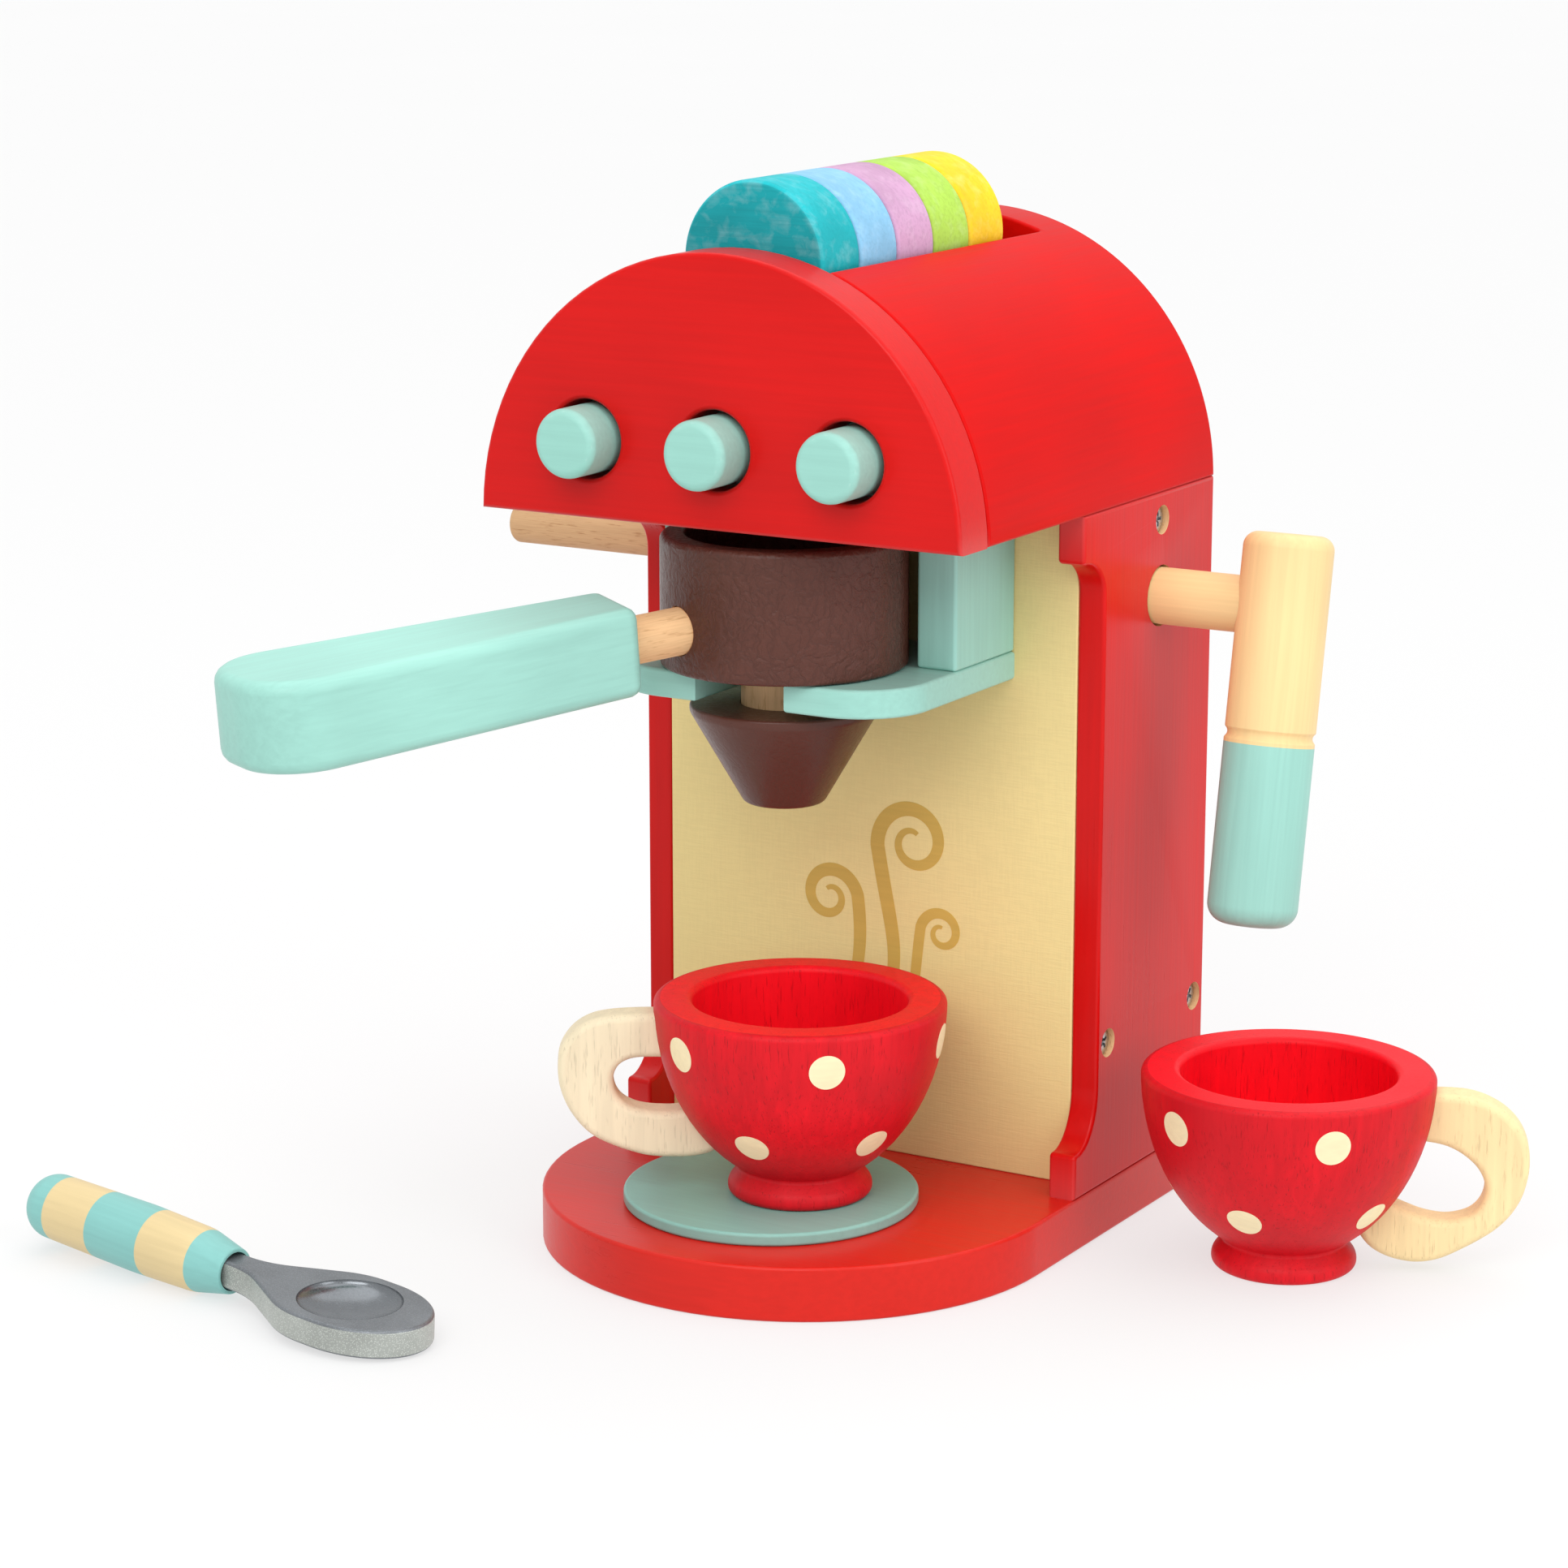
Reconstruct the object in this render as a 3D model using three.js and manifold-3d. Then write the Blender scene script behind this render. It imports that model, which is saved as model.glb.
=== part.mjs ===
// Toy coffee maker in painted wood, with its filter, lever, coloured discs, two cups and a spoon.
// Millimetres. X runs to the right, Y to the back and Z up.
// The origin is the centre of the base board's underside, and the machine faces -Y.
import * as THREE from "three";
import { mergeVertices } from "three/addons/utils/BufferGeometryUtils.js";
import Module from "manifold-3d";

const wasm = await Module();
wasm.setup();

// Fits and fineness
const runningGap = 0.3; // between pieces that move past each other
const glueGap = 0.1; // round a dowel or screw that is fixed in its hole
const overrun = 2; // how far every cutting tool passes a face
const chordError = 0.25; // how far a facet may lie inside its arc
const boardEase = 0.8; // rounding of a board's edges

// Base board and plate
const bodyWidth = 144;
const baseDepth = 172;
const baseThickness = 15;
const plateThickness = 3.5;
const plateFrontMargin = 14; // from the front of the base to the plate
const plateBackMargin = 12; // from the plate to the front board

// Side panels
const sideThickness = 8;
const sideHeight = 187.6;
const waistDepth = 66;
const earReach = 12.5; // how far the ear and the foot stand in front of the waist
const earHeight = 13.2;
const footHeight = 12.6;
const upperCoveHeight = 10;
const lowerCoveHeight = 16.2;
const coveLip = 0.8;

// Boards between the side panels
const frontBoardThickness = 12.5;
const backBoardThickness = 12.5;
const topBoardThickness = 15;

// Hood
const hoodDepth = 146.5;
const hoodCentreDrop = 0.8; // from the hood's underside down to the centre of its curve
const hoodPanelThickness = 15;
const hoodShellThickness = 8;
const hoodBackThickness = 8;
const hoodFloorThickness = 8;

// Tray under the slot in the hood
const slotInset = 46.5; // from the hood's side to the slot
const slotBackMargin = 16.4; // from the slot's end to the hood's back
const trayClearance = 5.9; // from the buttons' flanges up to the tray
const trayThickness = 8;
const trayWall = 5;

// Discs in the tray
const discSideRoom = 4.7; // half of what the slot is wider than a disc
const discRoom = 17.1; // left free in the slot behind the last disc
const discEase = 1.6;
const discOffset = 2.6; // the discs lean to the right of the slot's middle
const discNames = ["teal", "sky", "lilac", "green", "yellow"];

// Buttons, their springs and their guide
const buttonRadius = 9.15;
const buttonHoleRadius = 10.5;
const buttonInset = 33; // from the hood's side to the middle of the outer buttons
const buttonRise = 20.7; // above the hood's underside
const buttonProud = 10.5;
const buttonEase = 2.2;
const flangeRadius = 12;
const flangeThickness = 3;
const stemRadius = 3.5;
const stemLength = 28;
const springRoom = 15.9; // between the flange and the guide board
const springRadius = 6;
const springWire = 0.6;
const springTurns = 5;
const springStepsPerTurn = 7;
const guideThickness = 8;
const guideHeight = 25.4;
const guideEndMargin = 6; // from a stem hole's far side to the end of the guide board

// Spacer blocks and fork under the hood
const spacerHeight = 40.6;
const spacerWidth = 11.8;
const spacerDepth = 33;
const spacerGap = 0.4; // between the filter's side and a spacer block
const forkDepth = 68;
const forkThickness = 7.8;
const forkCornerRadius = 20;

// Filter
const filterReach = 45; // from the front board to the filter's axis
const filterRadius = 32.9;
const filterHeight = 35;
const filterEase = 1.8;
const recessRadius = 26;
const recessDepth = 14;
const neckRadius = 11.5;
const neckSlotGap = 2; // on each side of the neck in the fork's slot
const neckSocket = 6;
const coneTopRadius = 25.2;
const coneBottomRadius = 10.7;
const coneHeight = 27;
const coneDrop = 2.7; // between the fork and the cone
const coneEase = 2;

// Filter handle
const handleDowelRadius = 6.3;
const handleDowelShown = 18.7;
const handleSocket = 7; // how deep the dowel goes into the filter
const handleBore = 20; // how deep the dowel goes into the handle
const handleLength = 110.5;
const handleThickness = 23.6;
const handleInnerHalfWidth = 13.1;
const handleOuterHalfWidth = 22;
const handleEndRadius = 18;
const handleEndSlant = 4; // how far the grip's inner end is out of square
const handleCornerRadius = 4;
const handleEase = 3.2;
const handleRise = 14.1; // from the filter's underside to the dowel's line at the filter's axis
const handleTurn = THREE.MathUtils.degToRad(-116.5); // from +X to the handle's direction
const handleDroop = THREE.MathUtils.degToRad(4.1);

// Lever
const leverDrop = 28.3; // from the side panel's top to the lever's axis
const leverInset = 32.3; // from the machine's back to the lever's axis
const axleRadius = 7.75;
const axleHoleRadius = 8.4;
const axleReach = 36; // from the side panel's outer face to the lever handle's middle
const axleBite = 6; // how far the axle passes the lever handle's middle
const axleInside = 9; // how far the axle stands inside the side panel
const collarRadius = 12;
const collarWidth = 6;
const leverRadius = 12.2;
const leverLength = 105.4;
const leverAbove = 20; // from the axle up to the handle's top end
const leverTopEase = 4;
const leverBottomEase = 5.5;
const grooveWidth = 3;
const grooveDepth = 1.2;
const grooveFromTop = 52.5;
const leverTilt = THREE.MathUtils.degToRad(-10.4);

// Peg on the left side
const pegRadius = 6;
const pegReach = 66;
const pegInside = 6;
const pegDrop = 26.6; // from the side panel's top to the peg's axis
const pegEase = 1.2;

// Screws
const screwHeadRadius = 3.6;
const screwHeadHeight = 2;
const screwHeadRim = 0.5; // height of the head's straight rim
const screwShankRadius = 1.7;
const screwLength = 26;
const screwPoint = 4;
const crossLength = 4.2;
const crossWidth = 0.9;
const crossDepth = 1.3;
const screwRecessRadius = 4;
const screwSink = 1.4; // from the panel's face to the top of the head
const lowScrewRise = 40; // above the base board
const baseScrewInset = 24; // from a side panel's inner face

// Cups
const cupHeight = 54.5;
const cupRimRadius = 39.4;
const cupBowlDepth = 51.5; // how far down the bowl's curve would reach its axis
const cupMouthRadius = 28.9;
const cupWellDepth = 36;
const cupWellEase = 17;
const cupFootRadius = 19.5;
const cupFootHeight = 5.6;
const cupWaistHeight = 8.2;
const cupFootEase = 2;
const cupEase = 1.6;
const cupHandleReach = 64.5;
const cupHandleTop = 50;
const cupHandleThickness = 10;
const cupHandleEase = 2;
const cupHandleHeel = 21;
const cupHandleLowerRadius = 25.3;
const cupHandleHeelRadius = 8;
const cupHandleFlat = 0.8; // straight part between the handle's two outer curves

// Spoon
const spoonHandleLength = 75;
const spoonHandleRadius = 9.4;
const spoonButtRadius = 8.8;
const spoonButtEase = 6;
const spoonBellyShare = 0.55; // of the handle's length, where it is thickest
const spoonShoulderShare = 0.84; // of the handle's length, where it starts to narrow
const spoonShoulderRounding = 18.8;
const spoonCollarRadius = 6.2;
const spoonCollarBore = 5.3;
const spoonCollarDepth = 12;
const bladeThickness = 7.8;
const bladeNeckWidth = 7.8;
const bladeShown = 66.4;
const bowlHalfWidth = 16.8;
const bowlTipLength = 23; // from the bowl's widest place to its tip
const bowlShoulder = 16; // from the bowl's widest place back to its shoulder
const bladeFlare = 14; // from the shoulder back to the neck
const bladeCurve = 14; // radius of the flare's two curves
const bladeEase = 0.8;
const hollowHalfLength = 14.2;
const hollowHalfWidth = 13.4;
const hollowInset = 24.9; // from the tip to the middle of the hollow
const hollowDepth = 4;
const hollowFacets = 24; // round the hollow

// Places worked out from the sizes above
const sideX = bodyWidth / 2;
const innerX = sideX - sideThickness;
const backY = baseDepth / 2;
const waistY = backY - waistDepth;
const hoodFrontY = backY - hoodDepth;
const shellFrontY = hoodFrontY + hoodPanelThickness;
const hoodBaseZ = baseThickness + sideHeight;
const hoodRadius = Math.hypot(bodyWidth / 2, hoodCentreDrop);
const hoodCentreZ = hoodBaseZ - hoodCentreDrop;
const shellInnerRadius = hoodRadius - hoodShellThickness;
const slotBackY = backY - slotBackMargin;
const discThickness = (slotBackY - shellFrontY - discRoom) / discNames.length - runningGap;
const hoodBackPanelY = backY - hoodBackThickness;
const slotHalfWidth = sideX - slotInset;
const discRadius = slotHalfWidth - discSideRoom;
const trayTopZ = hoodBaseZ + buttonRise + flangeRadius + trayClearance + trayThickness;
const buttonSpacing = sideX - buttonInset;
const forkTopZ = hoodBaseZ - spacerHeight;
const forkHalfWidth = filterRadius + spacerGap + spacerWidth;
const filterY = waistY - filterReach;
const filterZ = forkTopZ + runningGap;
const coneTopZ = forkTopZ - forkThickness - coneDrop;
const leverY = backY - leverInset;
const leverZ = hoodBaseZ - leverDrop;
const plateRadius = (baseDepth - waistDepth - plateFrontMargin - plateBackMargin) / 2;
const plateY = waistY - plateBackMargin - plateRadius;
const plateTopZ = baseThickness + plateThickness;

// Places of the pieces that stand apart
const firstCupGap = 11.5; // from the front board to the cup's rim
const secondCupDistance = 51.8; // from the right side panel to the cup's axis
const firstCupPlace = { x: 8.5, y: waistY - firstCupGap - cupRimRadius, z: plateTopZ, turn: 213 };
const secondCupPlace = { x: sideX + secondCupDistance, y: 30.4, z: 0, turn: 24 };
const spoonPlace = { x: -175, y: -128.5, turn: -7.3 };

// The two cups' handles are cut a little differently: heights above the foot, and the hole's reach
const firstHandle = { bottom: 11, holeBottom: 26.5, holeTop: 39.5, holeReach: 50.3 };
const secondHandle = { bottom: 4.5, holeBottom: 18.5, holeTop: 37.8, holeReach: 53.8 };

// Finishes
function finish(color, roughness, metalness = 0) {
  return new THREE.MeshStandardMaterial({ color, roughness, metalness });
}
const redPaint = finish(0xd4201f, 0.35);
const mintPaint = finish(0xa3e0d0, 0.5);
const creamPaint = finish(0xf2dfa6, 0.5);
const brownPaint = finish(0x5a3730, 0.4);
const bareWood = finish(0xd8b083, 0.7);
const zinc = finish(0xb9bcc0, 0.35, 0.9);
const springSteel = finish(0x8d9196, 0.4, 0.9);
const redStain = finish(0xc41f2c, 0.6);
const creamStain = finish(0xf0e0b4, 0.6);
const greyPaint = finish(0x83888a, 0.4, 0.5);
const discStains = [0x16a3a8, 0x8ec2e4, 0xb98bc6, 0x97cf3f, 0xf8c51c].map((c) => finish(c, 0.6));

const machine = new THREE.Group();

// Adds a piece as its own named mesh.
function add(name, geometry, material, parent = machine) {
  const mesh = new THREE.Mesh(geometry, material);
  mesh.name = name;
  parent.add(mesh);
  return mesh;
}

// Joining and cutting
function toSolid(geometry) {
  const bare = new THREE.BufferGeometry();
  bare.setAttribute("position", geometry.getAttribute("position").clone());
  if (geometry.index) bare.setIndex(geometry.index.clone());
  const merged = mergeVertices(bare);
  const vertProperties = new Float32Array(merged.getAttribute("position").array);
  const triVerts = new Uint32Array(merged.index.array);
  return new wasm.Manifold(new wasm.Mesh({ numProp: 3, vertProperties, triVerts }));
}

function toGeometry(solid) {
  const mesh = solid.getMesh();
  const geometry = new THREE.BufferGeometry();
  geometry.setAttribute("position", new THREE.BufferAttribute(new Float32Array(mesh.vertProperties), 3));
  geometry.setIndex(new THREE.BufferAttribute(new Uint32Array(mesh.triVerts), 1));
  geometry.computeVertexNormals();
  return geometry;
}

function cut(geometry, ...tools) {
  return toGeometry(tools.reduce((solid, tool) => solid.subtract(toSolid(tool)), toSolid(geometry)));
}

// Number of facets of an arc of this radius and angle.
function facets(radius, angle) {
  const step = 2 * Math.acos(1 - Math.min(chordError / radius, 1 / 2));
  return Math.max(1, Math.ceil(angle / step));
}

function facetsAround(radius) {
  return 4 * Math.ceil(facets(radius, 2 * Math.PI) / 4);
}

// Points of an outline given by its corners [x, y, radius], each rounded to its radius.
function rounded(corners, closed = true) {
  const points = [];
  corners.forEach(([x, y, radius = 0], i) => {
    const corner = new THREE.Vector2(x, y);
    const open = !closed && (i === 0 || i === corners.length - 1);
    if (!radius || open) {
      points.push(corner);
      return;
    }
    const before = corners.at(i - 1);
    const after = corners[(i + 1) % corners.length];
    const back = new THREE.Vector2(before[0] - x, before[1] - y).normalize();
    const ahead = new THREE.Vector2(after[0] - x, after[1] - y).normalize();
    const half = Math.acos(THREE.MathUtils.clamp(back.dot(ahead), -1, 1)) / 2;
    const middle = back.clone().add(ahead).normalize();
    const centre = corner.clone().addScaledVector(middle, radius / Math.sin(half));
    const start = corner.clone().addScaledVector(back, radius / Math.tan(half)).sub(centre);
    const sweep = (Math.PI - 2 * half) * Math.sign(ahead.cross(back));
    const steps = facets(radius, Math.abs(sweep));
    for (let k = 0; k <= steps; k++) {
      points.push(start.clone().rotateAround(new THREE.Vector2(), (sweep * k) / steps).add(centre));
    }
  });
  return points;
}

// Points of an arc round a centre, from one angle to another.
function arc(x, y, radiusX, radiusY, from, to) {
  const quarters = Math.max(1, Math.round((2 * Math.abs(to - from)) / Math.PI));
  const steps = quarters * facets(Math.max(radiusX, radiusY), Math.abs(to - from) / quarters);
  return Array.from({ length: steps + 1 }, (_, k) => {
    const angle = from + ((to - from) * k) / steps;
    return new THREE.Vector2(x + radiusX * Math.cos(angle), y + radiusY * Math.sin(angle));
  });
}

// A flat piece of this outline, lying on the XY plane, with eased edges.
function slab(points, thickness, ease, holes = [], easeSteps = 1) {
  const shape = new THREE.Shape(points);
  shape.holes = holes.map((hole) => new THREE.Path(hole));
  const geometry = new THREE.ExtrudeGeometry(shape, {
    depth: thickness - 2 * ease,
    bevelEnabled: ease > 0,
    bevelThickness: ease,
    bevelSize: ease,
    bevelOffset: -ease,
    bevelSegments: easeSteps,
  });
  return geometry.translate(0, 0, ease);
}

// Stands a slab up across the machine: its outline's x and y become Y and Z.
function acrossX(geometry, x) {
  const turn = new THREE.Matrix4().makeBasis(
    new THREE.Vector3(0, 1, 0),
    new THREE.Vector3(0, 0, 1),
    new THREE.Vector3(1, 0, 0),
  );
  return geometry.applyMatrix4(turn).translate(x, 0, 0);
}

// Stands a slab up facing the front: its outline's x and y become X and Z, and its back lies at y.
function facingFront(geometry, y) {
  return geometry.rotateX(Math.PI / 2).translate(0, y, 0);
}

// A turned piece round Z, from its profile's corners [radius, height, rounding], bottom first.
function turned(corners) {
  const points = rounded(corners, false).map((p) => new THREE.Vector2(Math.max(p.x, 0), p.y));
  const widest = Math.max(...points.map((p) => p.x));
  return new THREE.LatheGeometry(points, facetsAround(widest)).rotateX(Math.PI / 2);
}

// A plain round bar round Z, with eased ends.
function bar(radius, bottom, top, ease = 0) {
  return turned([[0, bottom], [radius, bottom, ease], [radius, top, ease], [0, top]]);
}

function alongX(geometry) {
  return geometry.rotateY(Math.PI / 2);
}

// Turns a piece made round Z so that its top points to the front.
function towardFront(geometry) {
  return geometry.rotateX(Math.PI / 2);
}

// A board with eased edges between two corners.
function board(x0, x1, y0, y1, z0, z1) {
  const corners = [[x0, y0], [x1, y0], [x1, y1], [x0, y1]].map(([x, y]) => [x, y, boardEase]);
  return slab(rounded(corners), z1 - z0, boardEase).translate(0, 0, z0);
}

// A sharp block between two corners, for cutting.
function block(x0, x1, y0, y1, z0, z1) {
  const geometry = new THREE.BoxGeometry(x1 - x0, y1 - y0, z1 - z0);
  return geometry.translate((x0 + x1) / 2, (y0 + y1) / 2, (z0 + z1) / 2);
}

// Screws: where they go
const frontBoardY = waistY + frontBoardThickness / 2;
const backBoardY = backY - backBoardThickness / 2;
const topBoardZ = hoodBaseZ - topBoardThickness / 2;
const sideScrews = [
  [frontBoardY, baseThickness + lowScrewRise],
  [backBoardY, baseThickness + lowScrewRise],
  [leverY, topBoardZ],
];
const baseScrews = [-1, 1].flatMap((side) => [
  [side * (innerX - baseScrewInset), frontBoardY],
  [side * (innerX - baseScrewInset), backBoardY],
]);

// A cross-head screw round Z, its head's top at the origin and its point below.
function screw() {
  const body = turned([
    [0, -screwLength],
    [screwShankRadius, screwPoint - screwLength],
    [screwShankRadius, -screwHeadHeight],
    [screwHeadRadius, -screwHeadRim],
    [screwHeadRadius, 0],
    [0, 0],
  ]);
  const arm = crossLength / 2;
  const half = crossWidth / 2;
  const cross = [
    block(-arm, arm, -half, half, -crossDepth, overrun),
    block(-half, half, -arm, arm, -crossDepth, overrun),
  ];
  return cut(body, ...cross);
}

// The hole that a screw needs, round Z, from the panel's face at the origin.
function screwHole() {
  const shank = screwShankRadius + glueGap;
  const seat = screwSink + screwHeadHeight;
  return turned([
    [0, -screwSink - screwLength - glueGap],
    [shank, -screwSink - screwLength - glueGap],
    [shank, -seat - glueGap],
    [screwRecessRadius, -seat - glueGap],
    [screwRecessRadius, overrun],
    [0, overrun],
  ]);
}

function sideScrewHoles(side) {
  const turn = side > 0 ? 0 : Math.PI;
  return sideScrews.map(([y, z]) => alongX(screwHole()).rotateZ(turn).translate(side * sideX, y, z));
}

function baseScrewHoles() {
  return baseScrews.map(([x, y]) => screwHole().rotateX(Math.PI).translate(x, y, 0));
}

function addScrews() {
  for (const [side, name] of [[1, "right"], [-1, "left"]]) {
    sideScrews.forEach(([y, z], i) => {
      const piece = alongX(screw()).rotateZ(side > 0 ? 0 : Math.PI);
      add(`${name}_screw_${i + 1}`, piece.translate(side * (sideX - screwSink), y, z), zinc);
    });
  }
  baseScrews.forEach(([x, y], i) => {
    add(`base_screw_${i + 1}`, screw().rotateX(Math.PI).translate(x, y, screwSink), zinc);
  });
}

// Base board with a half-round front, and the plate glued on it
function addBase() {
  const centreY = sideX - backY;
  const outline = [
    new THREE.Vector2(sideX, backY),
    new THREE.Vector2(-sideX, backY),
    ...arc(0, centreY, sideX, sideX, -Math.PI, 0),
  ];
  add("base_board", cut(slab(outline, baseThickness, boardEase), ...baseScrewHoles()), redPaint);
  const plate = bar(plateRadius, baseThickness, plateTopZ, boardEase);
  add("plate", plate.translate(0, plateY, 0), mintPaint);
}

// Side panels with an ear above and a foot below, joined to the waist by coves
function sidePanelOutline() {
  const frontY = waistY - earReach;
  const topZ = hoodBaseZ;
  const coveDepth = earReach - coveLip;
  const earBottom = topZ - earHeight;
  const footTop = baseThickness + footHeight;
  return [
    new THREE.Vector2(backY, baseThickness),
    new THREE.Vector2(backY, topZ),
    new THREE.Vector2(frontY, topZ),
    new THREE.Vector2(frontY, earBottom),
    ...arc(frontY + coveLip, earBottom - upperCoveHeight, coveDepth, upperCoveHeight, Math.PI / 2, 0),
    ...arc(frontY + coveLip, footTop + lowerCoveHeight, coveDepth, lowerCoveHeight, 0, -Math.PI / 2),
    new THREE.Vector2(frontY, footTop),
    new THREE.Vector2(frontY, baseThickness),
  ];
}

function addSidePanels() {
  const outline = sidePanelOutline();
  const hole = (radius, y, z) => alongX(bar(radius, -bodyWidth, bodyWidth)).translate(0, y, z);
  const right = acrossX(slab(outline, sideThickness, boardEase), innerX);
  const rightTools = [...sideScrewHoles(1), hole(axleHoleRadius, leverY, leverZ)];
  add("right_side_panel", cut(right, ...rightTools), redPaint);
  const left = acrossX(slab(outline, sideThickness, boardEase), -sideX);
  const leftTools = [...sideScrewHoles(-1), hole(pegRadius + glueGap, leverY, hoodBaseZ - pegDrop)];
  add("left_side_panel", cut(left, ...leftTools), redPaint);
}

// Boards screwed between the side panels
function addInnerBoards() {
  const holes = [...sideScrewHoles(1), ...sideScrewHoles(-1), ...baseScrewHoles()];
  const innerTopZ = hoodBaseZ - topBoardThickness;
  const frontBackY = waistY + frontBoardThickness;
  const backFrontY = backY - backBoardThickness;
  const front = board(-innerX, innerX, waistY, frontBackY, baseThickness, hoodBaseZ);
  add("front_board", cut(front, ...holes), creamPaint);
  const back = board(-innerX, innerX, backFrontY, backY, baseThickness, hoodBaseZ);
  add("back_board", cut(back, ...holes), redPaint);
  const top = board(-innerX, innerX, frontBackY, backFrontY, innerTopZ, hoodBaseZ);
  add("top_board", cut(top, ...holes), bareWood);
}

// Hood: front panel, curved shell with a slot, back panel and floor
function halfRound(radius) {
  const from = Math.asin(hoodCentreDrop / radius);
  return arc(0, hoodCentreZ, radius, radius, from, Math.PI - from);
}

function addHood() {
  const button = (x) => arc(x, hoodBaseZ + buttonRise, buttonHoleRadius, buttonHoleRadius, 0, 2 * Math.PI).slice(1);
  const holes = [-buttonSpacing, 0, buttonSpacing].map(button);
  const front = slab(halfRound(hoodRadius), hoodPanelThickness, boardEase, holes);
  add("hood_front_panel", facingFront(front, shellFrontY), redPaint);

  const arch = [...halfRound(hoodRadius), ...halfRound(shellInnerRadius).reverse()];
  const shell = facingFront(slab(arch, hoodDepth - hoodPanelThickness, boardEase), backY);
  const topZ = hoodCentreZ + hoodRadius + overrun;
  const slot = block(-slotHalfWidth, slotHalfWidth, shellFrontY - overrun, slotBackY, trayTopZ, topZ);
  add("hood_shell", cut(shell, slot), redPaint);

  const back = slab(halfRound(shellInnerRadius - runningGap), hoodBackThickness, boardEase);
  add("hood_back_panel", facingFront(back, backY), redPaint);

  const floorTopZ = hoodBaseZ + hoodFloorThickness;
  const floorX = Math.sqrt(shellInnerRadius ** 2 - (floorTopZ - hoodCentreZ) ** 2) - runningGap;
  const floor = board(-floorX, floorX, shellFrontY, hoodBackPanelY, hoodBaseZ, floorTopZ);
  add("hood_floor", floor, redPaint);
}

// Tray that holds the discs: a floor between the hood's two ends, two walls and a stop
function addTray() {
  const outerX = slotHalfWidth + trayWall;
  const reach = shellInnerRadius - runningGap;
  const underShell = (x) => hoodCentreZ + Math.sqrt(reach ** 2 - x ** 2);
  const floor = board(-outerX, outerX, shellFrontY, hoodBackPanelY, trayTopZ - trayThickness, trayTopZ);
  add("tray_floor", floor, bareWood);
  const stopBackY = slotBackY + trayWall;
  for (const [side, name] of [[-1, "tray_left_wall"], [1, "tray_right_wall"]]) {
    const outline = [
      [side * slotHalfWidth, trayTopZ],
      [side * outerX, trayTopZ],
      [side * outerX, underShell(outerX)],
      [side * slotHalfWidth, underShell(slotHalfWidth)],
    ].map(([x, z]) => new THREE.Vector2(x, z));
    const wall = slab(outline, stopBackY - shellFrontY, 0);
    add(name, facingFront(wall, stopBackY), redPaint);
  }
  const from = Math.acos(slotHalfWidth / reach);
  const stop = [
    new THREE.Vector2(-slotHalfWidth, trayTopZ),
    new THREE.Vector2(slotHalfWidth, trayTopZ),
    ...arc(0, hoodCentreZ, reach, reach, from, Math.PI - from),
  ];
  add("tray_stop", facingFront(slab(stop, trayWall, 0), stopBackY), redPaint);
}

function addDiscs() {
  discNames.forEach((name, i) => {
    const disc = towardFront(bar(discRadius, 0, discThickness, discEase));
    const backOfDisc = shellFrontY + (i + 1) * (discThickness + runningGap);
    disc.translate(discOffset, backOfDisc, trayTopZ + runningGap + discRadius);
    add(`${name}_disc`, disc, discStains[i]);
  });
}

// A helix round Z, for the button springs.
class Helix extends THREE.Curve {
  constructor(radius, height, turns) {
    super();
    Object.assign(this, { radius, height, turns });
  }

  getPoint(t, target = new THREE.Vector3()) {
    const angle = 2 * Math.PI * this.turns * t;
    return target.set(this.radius * Math.cos(angle), this.radius * Math.sin(angle), this.height * t);
  }
}

function spring(radius, wire, length, turns) {
  const path = new Helix(radius, length - 2 * wire, turns);
  const section = new THREE.Shape(arc(0, 0, wire, wire, 0, 2 * Math.PI).slice(1));
  const options = { steps: springStepsPerTurn * turns, extrudePath: path, bevelEnabled: false };
  return new THREE.ExtrudeGeometry(section, options).translate(0, 0, wire);
}

// Buttons that slide in the front panel, each on a spring against the guide board
function addButtons() {
  const z = hoodBaseZ + buttonRise;
  const flangeBackY = shellFrontY + runningGap + flangeThickness;
  const guideFrontY = flangeBackY + springRoom;
  const guideX = buttonSpacing + stemRadius + guideEndMargin;
  const floorTopZ = hoodBaseZ + hoodFloorThickness;
  const holes = [-buttonSpacing, 0, buttonSpacing].map((x) =>
    arc(x, z, stemRadius + runningGap, stemRadius + runningGap, 0, 2 * Math.PI).slice(1));
  const outline = [[-guideX, floorTopZ], [guideX, floorTopZ], [guideX, floorTopZ + guideHeight],
    [-guideX, floorTopZ + guideHeight]].map(([x, y]) => new THREE.Vector2(x, y));
  const guide = facingFront(slab(outline, guideThickness, 0, holes), guideFrontY + guideThickness);
  add("button_guide", guide, bareWood);

  const capLength = buttonProud + hoodPanelThickness + runningGap;
  ["left", "middle", "right"].forEach((name, i) => {
    const x = (i - 1) * buttonSpacing;
    const button = turned([
      [0, -flangeThickness - stemLength],
      [stemRadius, -flangeThickness - stemLength],
      [stemRadius, -flangeThickness],
      [flangeRadius, -flangeThickness],
      [flangeRadius, 0],
      [buttonRadius, 0],
      [buttonRadius, capLength, buttonEase],
      [0, capLength],
    ]);
    const flangeFrontY = shellFrontY + runningGap;
    add(`${name}_button`, towardFront(button).translate(x, flangeFrontY, z), mintPaint);
    const coil = spring(springRadius, springWire, springRoom - 2 * runningGap, springTurns);
    const coilBackY = guideFrontY - runningGap;
    add(`${name}_button_spring`, towardFront(coil).translate(x, coilBackY, z), springSteel);
  });
}

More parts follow.
